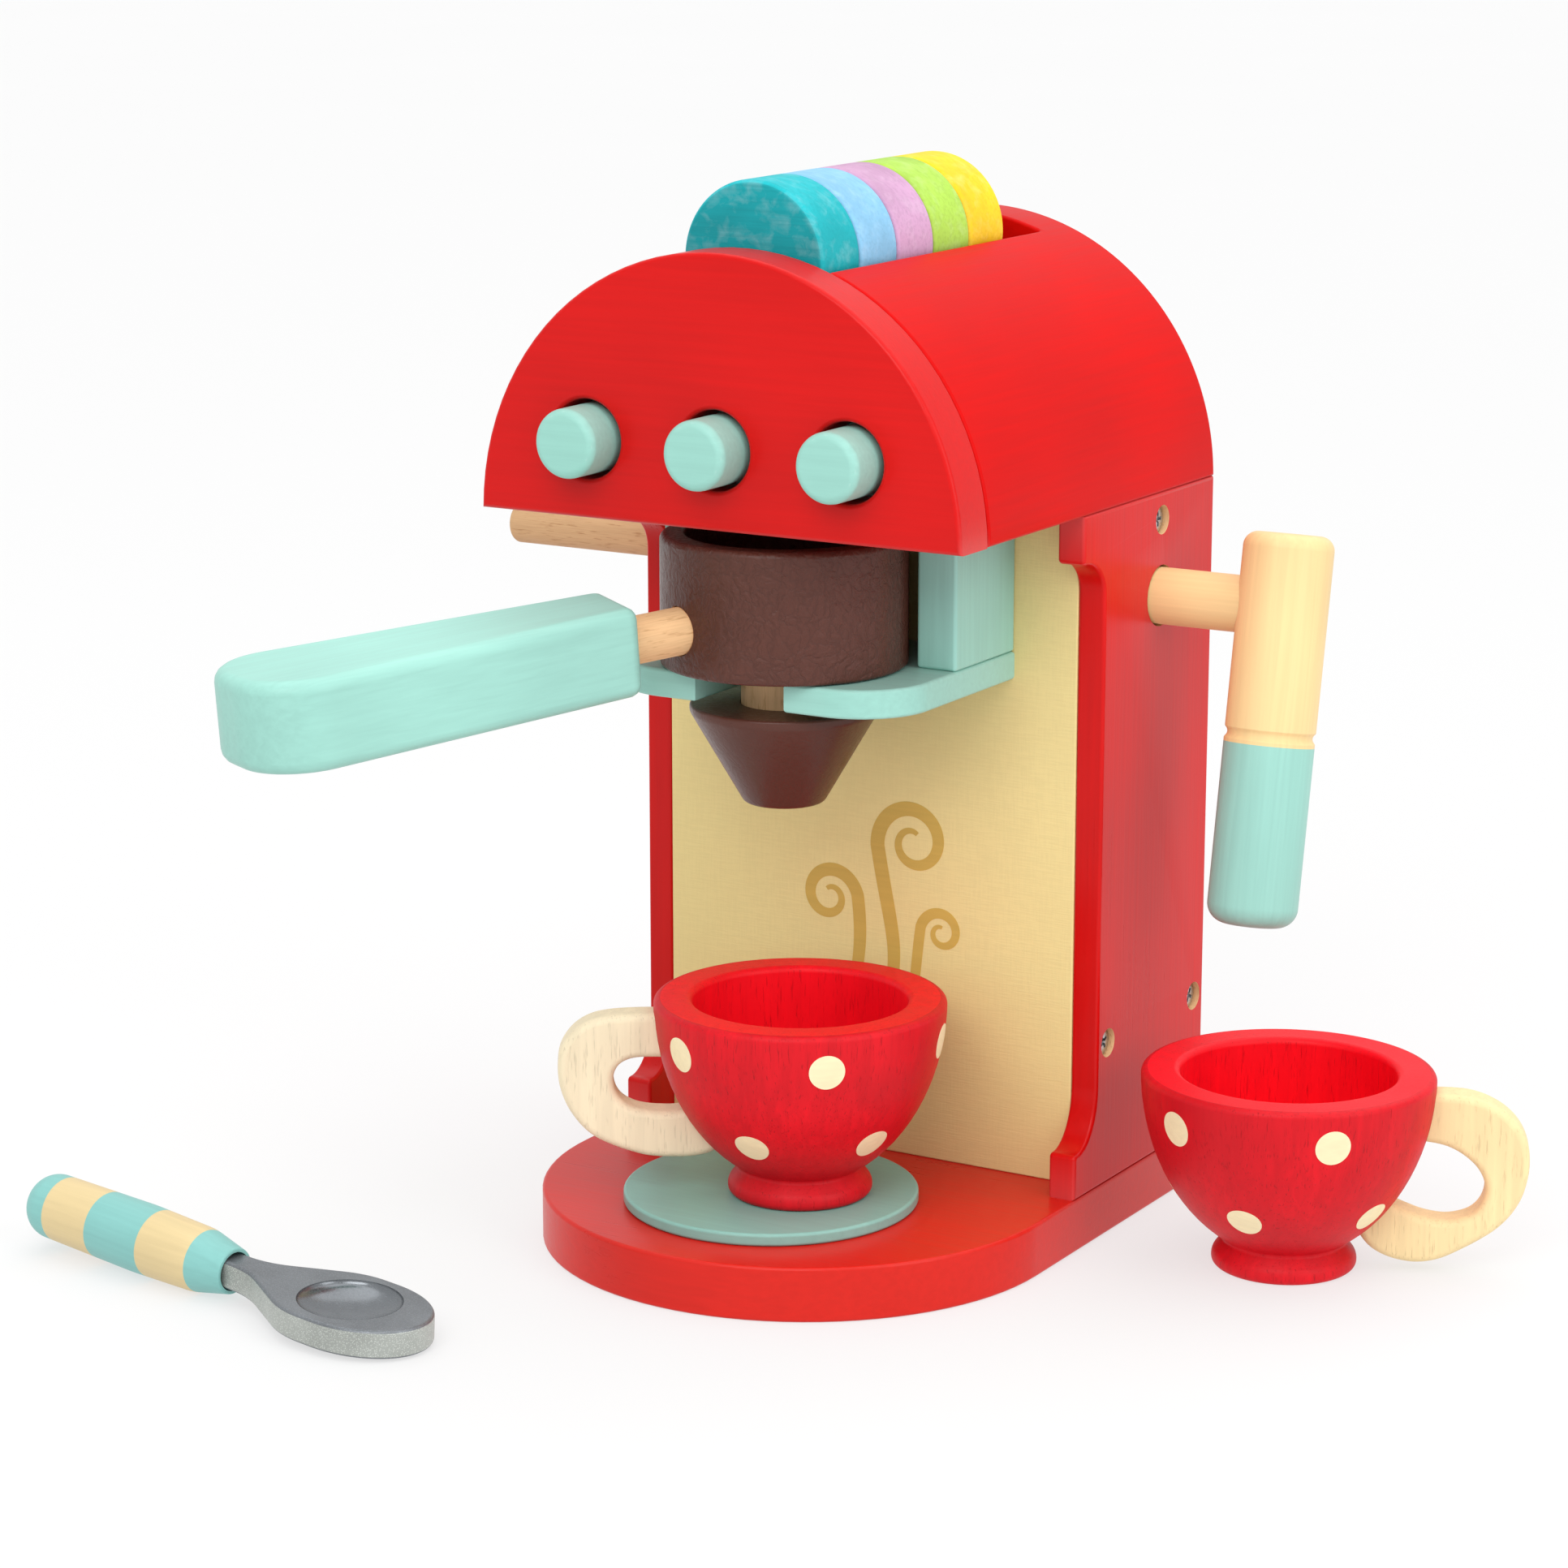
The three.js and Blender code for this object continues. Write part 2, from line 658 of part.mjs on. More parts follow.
// Fork that carries the filter, and the two blocks that hang it from the hood
function addFork() {
  const frontY = waistY - forkDepth;
  const slotHalf = neckRadius + neckSlotGap;
  const slotEndY = filterY + neckRadius + runningGap - slotHalf;
  const outline = [
    ...rounded([[-slotHalf, frontY], [-forkHalfWidth, frontY, forkCornerRadius], [-forkHalfWidth, waistY],
      [forkHalfWidth, waistY], [forkHalfWidth, frontY, forkCornerRadius], [slotHalf, frontY]]),
    ...arc(0, slotEndY, slotHalf, slotHalf, 0, Math.PI),
  ];
  const fork = slab(outline, forkThickness, boardEase);
  add("fork", fork.translate(0, 0, forkTopZ - forkThickness), mintPaint);
  for (const [side, name] of [[-1, "left_spacer_block"], [1, "right_spacer_block"]]) {
    const innerSide = forkHalfWidth - spacerWidth;
    const x = [side * innerSide, side * forkHalfWidth].sort((a, b) => a - b);
    add(name, board(...x, waistY - spacerDepth, waistY, forkTopZ, hoodBaseZ), mintPaint);
  }
}

// Filter: cup, neck and cone on one axis
function addFilter() {
  const filter = new THREE.Group();
  filter.position.set(0, filterY, 0);
  machine.add(filter);

  const floorZ = filterHeight - recessDepth;
  const socket = neckRadius + runningGap;
  const cup = turned([
    [0, neckSocket + runningGap],
    [socket, neckSocket + runningGap],
    [socket, 0],
    [filterRadius, 0, boardEase],
    [filterRadius, filterHeight, filterEase],
    [recessRadius, filterHeight, boardEase],
    [recessRadius, floorZ, filterEase],
    [0, floorZ],
  ]);
  const dowelHole = alongX(bar(handleDowelRadius + runningGap, filterRadius - handleSocket, bodyWidth));
  dowelHole.rotateY(handleDroop).rotateZ(handleTurn).translate(0, 0, handleRise);
  add("filter_cup", cut(cup, dowelHole).translate(0, 0, filterZ), brownPaint, filter);

  const neckBottomZ = coneTopZ - neckSocket;
  add("filter_neck", bar(neckRadius, neckBottomZ, filterZ + neckSocket), bareWood, filter);

  const coneBottomZ = coneTopZ - coneHeight;
  const cone = turned([
    [0, coneBottomZ],
    [coneBottomRadius, coneBottomZ, coneEase],
    [coneTopRadius, coneTopZ - coneEase, coneEase],
    [coneTopRadius, coneTopZ, boardEase],
    [socket, coneTopZ],
    [socket, neckBottomZ - runningGap],
    [0, neckBottomZ - runningGap],
  ]);
  add("filter_cone", cone, brownPaint, filter);
}

// Handle of the filter: a dowel and a tapered grip, turned to the left front and sloping down a little
function addFilterHandle() {
  const turn = new THREE.Group();
  turn.position.set(0, filterY, filterZ + handleRise);
  turn.rotation.z = handleTurn;
  const slope = new THREE.Group();
  slope.rotation.y = handleDroop;
  machine.add(turn);
  turn.add(slope);

  const gripStart = filterRadius + handleDowelShown;
  const gripEnd = gripStart + handleLength;
  const dowelStart = filterRadius - handleSocket + runningGap;
  const dowel = alongX(bar(handleDowelRadius, dowelStart, gripStart + handleBore, boardEase));
  add("handle_dowel", dowel, bareWood, slope);

  const outline = rounded([
    [gripStart - handleEndSlant, -handleInnerHalfWidth, handleCornerRadius],
    [gripEnd, -handleOuterHalfWidth, handleEndRadius],
    [gripEnd, handleOuterHalfWidth, handleEndRadius],
    [gripStart, handleInnerHalfWidth, handleCornerRadius],
  ]);
  const grip = slab(outline, handleThickness, handleEase, [], 3).translate(0, 0, -handleThickness / 2);
  const boreEnd = gripStart + handleBore + runningGap;
  const bore = alongX(bar(handleDowelRadius + runningGap, gripStart - handleEndSlant - overrun, boreEnd));
  add("handle_grip", cut(grip, bore), mintPaint, slope);
}

// Lever: an axle in the right side panel, held inside by a collar, with a turned handle
function addLever() {
  const lever = new THREE.Group();
  lever.position.set(0, leverY, leverZ);
  lever.rotation.x = leverTilt;
  machine.add(lever);

  const axleStart = innerX - axleInside;
  const handleX = sideX + axleReach;
  const axleEnd = handleX + axleBite;
  const axle = alongX(bar(axleRadius, axleStart, axleEnd, boardEase));
  add("lever_axle", axle, creamPaint, lever);

  const collarEnd = innerX - runningGap;
  const ring = alongX(bar(collarRadius, collarEnd - collarWidth, collarEnd, boardEase));
  const bore = alongX(bar(axleRadius + glueGap, axleStart - overrun, innerX + overrun));
  add("lever_collar", cut(ring, bore), bareWood, lever);

  const bottom = leverAbove - leverLength;
  const grooveTop = leverAbove - grooveFromTop;
  const grooveBottom = grooveTop - grooveWidth;
  const handle = turned([
    [0, bottom],
    [leverRadius, bottom, leverBottomEase],
    [leverRadius, grooveBottom],
    [leverRadius - grooveDepth, (grooveBottom + grooveTop) / 2, grooveWidth / 2],
    [leverRadius, grooveTop],
    [leverRadius, leverAbove, leverTopEase],
    [0, leverAbove],
  ]).translate(handleX, 0, 0);
  const socket = alongX(bar(axleRadius + glueGap, sideX, axleEnd + runningGap));
  add("lever_handle", cut(handle, socket), creamPaint, lever);
}

function addPeg() {
  const peg = alongX(bar(pegRadius, -sideX - pegReach, pegInside - innerX, pegEase));
  add("side_peg", peg.translate(0, leverY, hoodBaseZ - pegDrop), bareWood);
}

// Outside of a cup as a profile [radius, height, rounding]; grow widens it.
function cupOutside(grow) {
  const from = -Math.asin((cupHeight - cupWaistHeight) / cupBowlDepth);
  const bowl = arc(grow, cupHeight, cupRimRadius, cupBowlDepth, from, 0).map((p) => [p.x, p.y]);
  bowl.at(-1).push(grow > 0 ? 0 : cupEase);
  return [
    [0, 0],
    [cupFootRadius + grow, 0, boardEase],
    [cupFootRadius + grow, cupFootHeight, cupFootEase],
    ...bowl,
  ];
}

function addCup(number, place, handle) {
  const cup = new THREE.Group();
  cup.position.set(place.x, place.y, place.z);
  cup.rotation.z = THREE.MathUtils.degToRad(place.turn);
  machine.add(cup);

  const wellZ = cupHeight - cupWellDepth;
  const body = turned([
    ...cupOutside(0),
    [cupMouthRadius, cupHeight, cupEase],
    [cupMouthRadius, wellZ, cupWellEase],
    [0, wellZ],
  ]);
  add(`cup_${number}_body`, body, redStain, cup);

  const upperRadius = cupHandleTop - handle.bottom - cupHandleLowerRadius - cupHandleFlat;
  const outline = rounded([
    [cupHandleHeel, handle.bottom, cupHandleHeelRadius],
    [cupHandleReach, handle.bottom, cupHandleLowerRadius],
    [cupHandleReach, cupHandleTop, upperRadius],
    [cupHandleHeel, cupHandleTop],
  ]);
  const holeStart = cupHandleHeel + cupHandleHeelRadius;
  const holeRadius = (handle.holeTop - handle.holeBottom - cupHandleFlat) / 2;
  const hole = rounded([
    [holeStart, handle.holeBottom],
    [handle.holeReach, handle.holeBottom, holeRadius],
    [handle.holeReach, handle.holeTop, holeRadius],
    [holeStart, handle.holeTop],
  ]);
  const plate = slab(outline, cupHandleThickness, cupHandleEase, [hole], 2);
  plate.rotateX(Math.PI / 2).translate(0, cupHandleThickness / 2, 0);
  const core = turned([...cupOutside(runningGap), [0, cupHeight]]);
  add(`cup_${number}_handle`, cut(plate, core), creamStain, cup);
}

// Spoon: a turned handle and a flat blade with a hollowed bowl, resting on its thickest ring and its tip
function addSpoon() {
  const length = spoonHandleLength;
  const end = length + bladeShown;
  const thickest = length * spoonBellyShare;
  const tilt = Math.asin((spoonHandleRadius - bladeThickness / 2) / (end - thickest));
  const turn = new THREE.Group();
  turn.position.set(spoonPlace.x, spoonPlace.y, spoonHandleRadius + thickest * Math.sin(tilt));
  turn.rotation.z = THREE.MathUtils.degToRad(spoonPlace.turn);
  const slope = new THREE.Group();
  slope.rotation.y = tilt;
  machine.add(turn);
  turn.add(slope);

  const handle = turned([
    [0, 0],
    [spoonButtRadius, 0, spoonButtEase],
    [spoonHandleRadius, thickest, length],
    [spoonButtRadius, length * spoonShoulderShare, spoonShoulderRounding],
    [spoonCollarRadius, length, boardEase],
    [spoonCollarBore, length],
    [spoonCollarBore, length - spoonCollarDepth],
    [0, length - spoonCollarDepth],
  ]);
  add("spoon_handle", alongX(handle), mintPaint, slope);

  const neck = bladeNeckWidth / 2;
  const start = length - spoonCollarDepth + runningGap;
  const widest = end - bowlTipLength;
  const shoulder = widest - bowlShoulder;
  const outline = [
    ...rounded([
      [start, -neck],
      [shoulder - bladeFlare, -neck, bladeCurve],
      [shoulder, -bowlHalfWidth, bladeCurve],
      [widest, -bowlHalfWidth],
    ], false),
    ...arc(widest, 0, bowlTipLength, bowlHalfWidth, -Math.PI / 2, Math.PI / 2).slice(1, -1),
    ...rounded([
      [widest, bowlHalfWidth],
      [shoulder, bowlHalfWidth, bladeCurve],
      [shoulder - bladeFlare, neck, bladeCurve],
      [start, neck],
    ], false),
  ];
  const blade = slab(outline, bladeThickness, bladeEase).translate(0, 0, -bladeThickness / 2);
  const hollow = new THREE.SphereGeometry(1, hollowFacets, hollowFacets / 2);
  hollow.scale(hollowHalfLength, hollowHalfWidth, hollowDepth);
  hollow.translate(end - hollowInset, 0, bladeThickness / 2);
  add("spoon_blade", cut(blade, hollow), greyPaint, slope);
}

addBase();
addSidePanels();
addInnerBoards();
addScrews();
addHood();
addTray();
addDiscs();
addButtons();
addFork();
addFilter();
addFilterHandle();
addLever();
addPeg();
addCup(1, firstCupPlace, firstHandle);
addCup(2, secondCupPlace, secondHandle);
addSpoon();

export default machine;
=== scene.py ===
import math

import bmesh
import bpy
from bpy.props import FloatProperty, FloatVectorProperty, PointerProperty
from mathutils import Matrix, Vector


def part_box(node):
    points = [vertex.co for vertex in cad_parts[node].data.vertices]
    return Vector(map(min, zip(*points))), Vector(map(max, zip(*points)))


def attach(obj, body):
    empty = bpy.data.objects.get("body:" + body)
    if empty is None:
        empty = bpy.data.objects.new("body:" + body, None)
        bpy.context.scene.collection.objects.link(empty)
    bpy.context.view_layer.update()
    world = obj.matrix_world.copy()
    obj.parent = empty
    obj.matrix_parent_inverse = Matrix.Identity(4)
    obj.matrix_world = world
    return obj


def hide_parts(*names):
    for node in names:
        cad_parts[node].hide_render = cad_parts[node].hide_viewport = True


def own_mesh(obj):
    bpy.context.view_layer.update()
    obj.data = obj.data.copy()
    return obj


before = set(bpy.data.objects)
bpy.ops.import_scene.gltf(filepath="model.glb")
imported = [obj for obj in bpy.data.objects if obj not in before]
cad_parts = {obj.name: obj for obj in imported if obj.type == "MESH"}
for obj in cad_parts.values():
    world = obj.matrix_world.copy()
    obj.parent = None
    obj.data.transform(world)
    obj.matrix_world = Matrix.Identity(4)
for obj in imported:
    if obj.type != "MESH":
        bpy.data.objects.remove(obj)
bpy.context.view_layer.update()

bl_info = {
    "name": "Toy coffee maker",
    "version": (1, 0, 0),
    "blender": (4, 5, 0),
    "location": "View3D > Sidebar > Toy",
    "description": "Builds a painted wooden toy coffee maker with its cups and spoon",
    "category": "Object",
}

TURN = 2 * math.pi
ARC_STEP = math.radians(4)  # angle between the points of an arc
AROUND = 128  # facets round a turned piece
COIL_STEPS = 24  # points in one turn of a spring
FLOW_STEPS = 5  # points between two given places of a flowing outline
WELD = 1e-6  # points nearer than this become one
EDGE_STEPS = 3  # rings in a rounded edge, besides its two ends
LEVEL = math.radians(0.2)  # faces that meet at less than this are joined
SHARP = math.radians(38)  # faces that meet at more than this keep a crisp edge

# Local Z to the right, and local Z to the front
ALONG_X = Matrix.Rotation(math.pi / 2, 4, "Y")
TO_FRONT = Matrix.Rotation(math.pi / 2, 4, "X")
# An outline's x and y become Y and Z
ACROSS_X = Matrix(((0, 0, 1, 0), (1, 0, 0, 0), (0, 1, 0, 0), (0, 0, 0, 1)))


def mm(value):
    return value * 0.001


GAP = mm(0.3)  # room round a piece that is set into another
SLIDING_GAP = mm(0.1)  # room round a rod in its hole
DRILL = mm(20)  # how far a hole's tool reaches past the face that it is drilled from


def screen(*levels):
    """Linear colour of three screen levels from 0 to 255."""
    return tuple(((v / 255 + 0.055) / 1.055) ** 2.4 for v in levels)


def size(name, millimetres, description):
    return FloatProperty(
        name=name, description=description, default=mm(millimetres), min=0, unit="LENGTH",
        precision=5)


def turn(name, degrees, description):
    return FloatProperty(
        name=name, description=description, default=math.radians(degrees), subtype="ANGLE")


def tint(name, levels, description):
    return FloatVectorProperty(
        name=name, description=description, default=screen(*levels), size=3, min=0, max=1,
        subtype="COLOR")


def level(name, amount, description):
    return FloatProperty(name=name, description=description, default=amount, min=0)


# Settings that a user would change

class ToyPaints(bpy.types.PropertyGroup):
    """Colours of the paints and stains"""

    red: tint("Red paint", (204, 8, 6), "Side panels and hood")
    # The base's red is the red paint with green and blue added as a painted sheen, the studio's
    # reflection on the glossy paint
    base_red: tint("Base's red", (206, 34, 24), "Base board")
    mint: tint("Mint paint", (151, 203, 191), "Buttons, fork, grip and lever")
    # The plate's mint is the mint paint darkened, a painted shade from the hood and the cup above
    # it
    plate_mint: tint("Plate's mint", (134, 181, 170), "Round plate")
    spoon_mint: tint("Spoon's mint", (131, 189, 184), "Spoon's stripes")
    spoon_cream: tint("Spoon's cream", (218, 196, 148), "Spoon's stripes")
    cream: tint("Cream paint", (237, 206, 149), "Lever")
    board: tint("Cream board", (236, 217, 152), "Board behind the cups")
    print: tint("Steam print", (209, 175, 88), "Printed curls on the cream board")
    brown: tint("Brown paint", (84, 48, 39), "Filter's cup and cone")
    beech: tint("Bare wood", (233, 190, 142), "Dowels, inner boards and drilled holes")
    cup_red: tint("Cup stain", (216, 15, 30), "Turned cups")
    # The well's stain is a brighter copy of the cup stain, painted light inside the well and on the
    # rim
    cup_well: tint("Cup well stain", (250, 8, 30), "Inside and rim of the cups")
    pale_ear: tint("Pale ear stain", (241, 225, 192), "Handle of the first cup")
    warm_ear: tint("Warm ear stain", (244, 219, 166), "Handle of the second cup")
    dots: tint("Dots", (243, 226, 184), "Dots on the cups")
    silver: tint("Silver paint", (120, 124, 128), "Top and hollow of the spoon's blade")
    silver_edge: tint("Silver edge", (166, 170, 165), "Edge of the spoon's blade")
    zinc: tint("Zinc", (196, 198, 200), "Screws")
    spring: tint("Spring steel", (150, 154, 158), "Button springs")
    teal: tint("Teal stain", (16, 167, 175), "First disc")
    sky: tint("Sky stain", (130, 184, 217), "Second disc")
    lilac: tint("Lilac stain", (188, 146, 178), "Third disc")
    green: tint("Green stain", (160, 198, 76), "Fourth disc")
    yellow: tint("Yellow stain", (255, 197, 32), "Fifth disc")


class ToyBody(bpy.types.PropertyGroup):
    """Sizes of the base, the side panels and the boards"""

    board_edge: size("Board edge", 1, "Rounding of the painted boards' edges")
    side_thickness: size("Side thickness", 8, "Thickness of a side panel")
    ear_reach: size("Ear reach", 12.5, "How far ear and foot stand in front of the waist")
    ear_height: size("Ear height", 13.2, "Height of the ear's front")
    foot_height: size("Foot height", 12.6, "Height of the foot's front")
    upper_cove: size("Upper cove", 10, "Height of the curve under the ear")
    lower_cove: size("Lower cove", 16.2, "Height of the curve above the foot")
    cove_lip: size("Cove lip", 1.4, "Rounding of the corner before each curve")
    screw_recess: size("Screw recess", 4, "Radius of the hole round a screw's head")
    screw_sink: size("Screw sink", 1.4, "How deep a screw's head lies")
    screw_head: size("Screw head", 3.6, "Radius of a screw's head")
    cross_length: size("Cross length", 4.2, "Length of the slots in a screw's head")
    cross_width: size("Cross width", 0.95, "Width of the slots in a screw's head")


class ToyHood(bpy.types.PropertyGroup):
    """Sizes of the hood, its buttons and the discs"""

    centre_drop: size("Centre drop", 0.8, "From the hood's underside to its curve's centre")
    shell_thickness: size("Shell thickness", 8, "Thickness of the curved shell")
    panel_edge: size("Panel edge", 1.3, "Rounding of the front panel's edges")
    slot_half_width: size("Slot half width", 25.5, "Half the width of the disc slot")
    slot_corner: size("Slot corner", 1.5, "Rounding of the slot's corners")
    button_hole: size("Button hole", 10.5, "Radius of the holes round the buttons")
    button_spacing: size("Button spacing", 39, "From one button to the next")
    button_rise: size("Button rise", 20.7, "From the hood's underside to the buttons")
    button_radius: size("Button radius", 9.15, "Radius of a button")
    button_edge: size("Button edge", 2.2, "Rounding of a button's front edge")
    press: size("Press", 6, "How far a button goes in")
    spring_wire: size("Spring wire", 0.6, "Radius of the springs' wire")
    disc_edge: size("Disc edge", 1.4, "Rounding of a disc's edges")


class ToyFilter(bpy.types.PropertyGroup):
    """Sizes of the fork and the pull-out filter"""

    fork_corner: size("Fork corner", 20, "Radius of the fork's front corners")
    fork_slot: size("Fork slot", 13.5, "Half the width of the fork's slot")
    cup_edge: size("Filter edge", 1.8, "Rounding of the filter cup's rim")
    neck_radius: size("Neck radius", 11.5, "Radius of the bare neck")
    cone_top: size("Cone top", 25.2, "Radius of the cone's top")
    cone_bottom: size("Cone bottom", 10.7, "Radius of the cone's bottom")
    handle_rise: size("Handle rise", 14.1, "From the filter's underside to the handle's line")
    dowel_radius: size("Dowel radius", 6.3, "Radius of the handle's dowel")
    grip_start: size("Grip start", 51.6, "From the filter's axis to the grip")
    grip_length: size("Grip length", 110.5, "Length of the grip")
    grip_thickness: size("Grip thickness", 23.6, "Height of the grip")
    grip_inner: size("Grip inner half width", 13.1, "Half the grip's width near the filter")
    grip_outer: size("Grip outer half width", 22, "Half the grip's width at its end")
    grip_end: size("Grip end radius", 18, "Radius of the grip's end corners")
    grip_corner: size("Grip inner corner", 4, "Radius of the corners near the filter")
    grip_slant: size("Grip slant", 4, "How far the inner end is out of square")
    grip_edge: size("Grip edge", 3.4, "Rounding along the grip")
    handle_turn: turn("Handle turn", -116.5, "From the right round to the handle")
    handle_droop: turn("Handle droop", 4.1, "How much the handle slopes down")


class ToyLever(bpy.types.PropertyGroup):
    """Sizes of the lever and the peg"""

    axle_radius: size("Axle radius", 7.75, "Radius of the axle")
    axle_hole: size("Axle hole", 8.4, "Radius of the hole round the axle")
    axle_reach: size("Axle reach", 36, "From the side panel to the handle's middle")
    axle_inside: size("Axle inside", 9, "How far the axle stands inside")
    handle_radius: size("Lever radius", 12.2, "Radius of the lever's handle")
    handle_length: size("Lever length", 105.4, "Length of the lever's handle")
    handle_above: size("Lever above", 20, "From the axle up to the handle's top")
    groove_from_top: size("Groove place", 52.5, "From the handle's top to its groove")
    groove_width: size("Groove width", 3, "Width of the groove")
    groove_depth: size("Groove depth", 1.2, "Depth of the groove")
    paint_line: size("Paint line", 56.5, "From the handle's top to where mint starts")
    lever_turn: turn("Lever turn", -10.4, "How far the lever hangs from upright")
    peg_radius: size("Peg radius", 6, "Radius of the peg on the left")
    peg_drop: size("Peg drop", 26.6, "From the hood down to the peg")


class ToyCups(bpy.types.PropertyGroup):
    """Sizes of the two cups"""

    height: size("Cup height", 54.5, "Height of a cup")
    rim_radius: size("Rim radius", 39.4, "Radius at the rim")
    bowl_depth: size("Bowl depth", 51.5, "Depth at which the bowl's curve would close")
    mouth_radius: size("Mouth radius", 28.9, "Radius of the opening")
    well_depth: size("Well depth", 36, "Depth of the opening")
    well_round: size("Well rounding", 17, "Rounding of the well's floor")
    foot_radius: size("Foot radius", 19.5, "Radius of the foot")
    foot_height: size("Foot height", 3.6, "Height of the foot's edge")
    neck_radius: size("Neck radius", 16.3, "Radius of the narrowest place")
    neck_height: size("Neck height", 7.8, "Height of the narrowest place")
    waist_height: size("Waist height", 8.4, "Height where the bowl starts")
    dot_radius: size("Dot radius", 4.8, "Radius of the painted dots")
    upper_dots: size("Upper dots", 44.7, "Height of the upper ring of dots")
    lower_dots: size("Lower dots", 20.4, "Height of the lower ring of dots")
    handle_thickness: size("Handle thickness", 10, "Thickness of the handle")
    handle_edge: size("Handle edge", 2.2, "Rounding of the handle's edges")


class ToySpoon(bpy.types.PropertyGroup):
    """Sizes of the spoon"""

    handle_length: size("Handle length", 75, "Length of the turned handle")
    belly_radius: size("Belly radius", 9.4, "Radius where the handle is thickest")
    butt_radius: size("Butt radius", 8.8, "Radius at the handle's end")
    collar_radius: size("Collar radius", 6.2, "Radius where the blade enters")
    blade_thickness: size("Blade thickness", 7.8, "Thickness of the blade")
    blade_shown: size("Blade shown", 66.4, "Length of blade past the handle")
    bowl_half_width: size("Bowl half width", 16.8, "Half the width of the bowl")
    hollow_depth: size("Hollow depth", 4, "Depth of the hollow")
    lie: turn("Spoon turn", -7.3, "How the spoon lies on the table")


class ToyStudio(bpy.types.PropertyGroup):
    """Camera, floor and lights"""

    heading: turn("Camera heading", 30.811, "How far the camera stands to the right")
    dip: turn("Camera dip", 13.299, "How far the camera looks down")
    lens: FloatProperty(name="Lens", description="Focal length", default=99.28, unit="CAMERA")
    floor: tint("Floor", (137, 137, 137), "Pale floor")
    top_spread: turn("Top spread", 75, "How wide the overhead light shines")
    floor_glow: level("Floor glow", 0.64, "Light of the floor itself")
    sky_level: level("Sky", 0.8, "Light from all sides")
    key_level: level("Key", 11, "Power of the main light")
    fill_level: level("Fill", 7, "Power of the right light")
    top_level: level("Top", 1.45, "Strength of the overhead light")


GROUPS = {
    "toy_paints": ToyPaints,
    "toy_body": ToyBody,
    "toy_hood": ToyHood,
    "toy_filter": ToyFilter,
    "toy_lever": ToyLever,
    "toy_cups": ToyCups,
    "toy_spoon": ToySpoon,
    "toy_studio": ToyStudio,
}


# Outlines and meshes

def arc(x, y, radius_x, radius_y, start, end):
    steps = max(2, math.ceil(abs(end - start) / ARC_STEP))
    angles = [start + (end - start) * k / steps for k in range(steps + 1)]
    return [(x + radius_x * math.cos(a), y + radius_y * math.sin(a)) for a in angles]


def rounded(corners, closed=True):
    """Points of an outline given by its corners (x, y, radius), each rounded to its radius."""
    points = []
    for i, (x, y, *rest) in enumerate(corners):
        radius = rest[0] if rest else 0
        corner = Vector((x, y))
        at_end = not closed and i in (0, len(corners) - 1)
        if not radius or at_end:
            points.append(corner)
            continue
        back = (Vector(corners[i - 1][:2]) - corner).normalized()
        ahead = (Vector(corners[(i + 1) % len(corners)][:2]) - corner).normalized()
        half = back.angle(ahead) / 2
        centre = corner + (back + ahead).normalized() * radius / math.sin(half)
        start = corner + back * radius / math.tan(half) - centre
        sweep = math.copysign(math.pi - 2 * half, ahead.cross(back))
        steps = max(2, math.ceil(abs(sweep) / ARC_STEP))
        for k in range(steps + 1):
            points.append(Matrix.Rotation(sweep * k / steps, 2) @ start + centre)
    return points


def smooth(places):
    """Points of a closed flowing curve through places in millimetres."""
    points = []
    for i in range(len(places)):
        nearby = [Vector(places[(i + k) % len(places)]) for k in (-1, 0, 1, 2)]
        before, start, end, after = (mm(1) * place for place in nearby)
        for k in range(FLOW_STEPS):
            t = k / FLOW_STEPS
            points.append(start + t / 2 * (
                (end - before) + t * (2 * before - 5 * start + 4 * end - after)
                + t * t * (3 * start - before - 3 * end + after)))
    return points


def to_mesh(bm):
    """Joins the doubled points of a bmesh, turns its faces outwards and returns its mesh."""
    bmesh.ops.remove_doubles(bm, verts=bm.verts, dist=WELD)
    bmesh.ops.dissolve_degenerate(bm, edges=bm.edges, dist=WELD)
    bmesh.ops.recalc_face_normals(bm, faces=bm.faces)
    mesh = bpy.data.meshes.new("shape")
    bm.to_mesh(mesh)
    bm.free()
    return mesh


def turned(corners, bands=(), around=AROUND):
    """A turned piece round Z from its profile's corners (radius, height, rounding), bottom first.
    Its finish changes to the other one at each height in bands."""
    profile = []
    for point in rounded(corners, closed=False):
        point = Vector(point)
        if profile:
            last = profile[-1]
            low, high = sorted((last.y, point.y))
            for band in sorted(bands, reverse=last.y > point.y):
                if low + WELD < band < high - WELD:
                    profile.append(last.lerp(point, (band - last.y) / (point.y - last.y)))
        profile.append(point)
    bm = bmesh.new()
    rings = []
    for radius, height in profile:
        count = around if radius > WELD else 1
        angles = [TURN * k / count for k in range(count)]
        rings.append([
            bm.verts.new((max(radius, 0) * math.cos(a), max(radius, 0) * math.sin(a), height))
            for a in angles])
    for lower, upper in zip(rings, rings[1:]):
        if len(lower) + len(upper) == 2:
            continue
        for face, height in joined(bm, lower, upper, around):
            face.material_index = sum(height > band for band in bands) % 2
    return to_mesh(bm)


def joined(bm, lower, upper, around):
    """Makes the faces between two rings of points, either of which may be a single point, and
    returns each face with the height of its middle."""
    made = []
    for k in range(around):
        after = k + 1
        ring = (lower[k % len(lower)], lower[after % len(lower)],
                upper[after % len(upper)], upper[k % len(upper)])
        height = sum(v.co.z for v in ring) / len(ring)
        made.append((bm.faces.new(list(dict.fromkeys(ring))), height))
    return made


def bar(radius, bottom, top, ease=0):
    """A round rod along Z, its ends rounded."""
    return turned([(0, bottom), (radius, bottom, ease), (radius, top, ease), (0, top)])


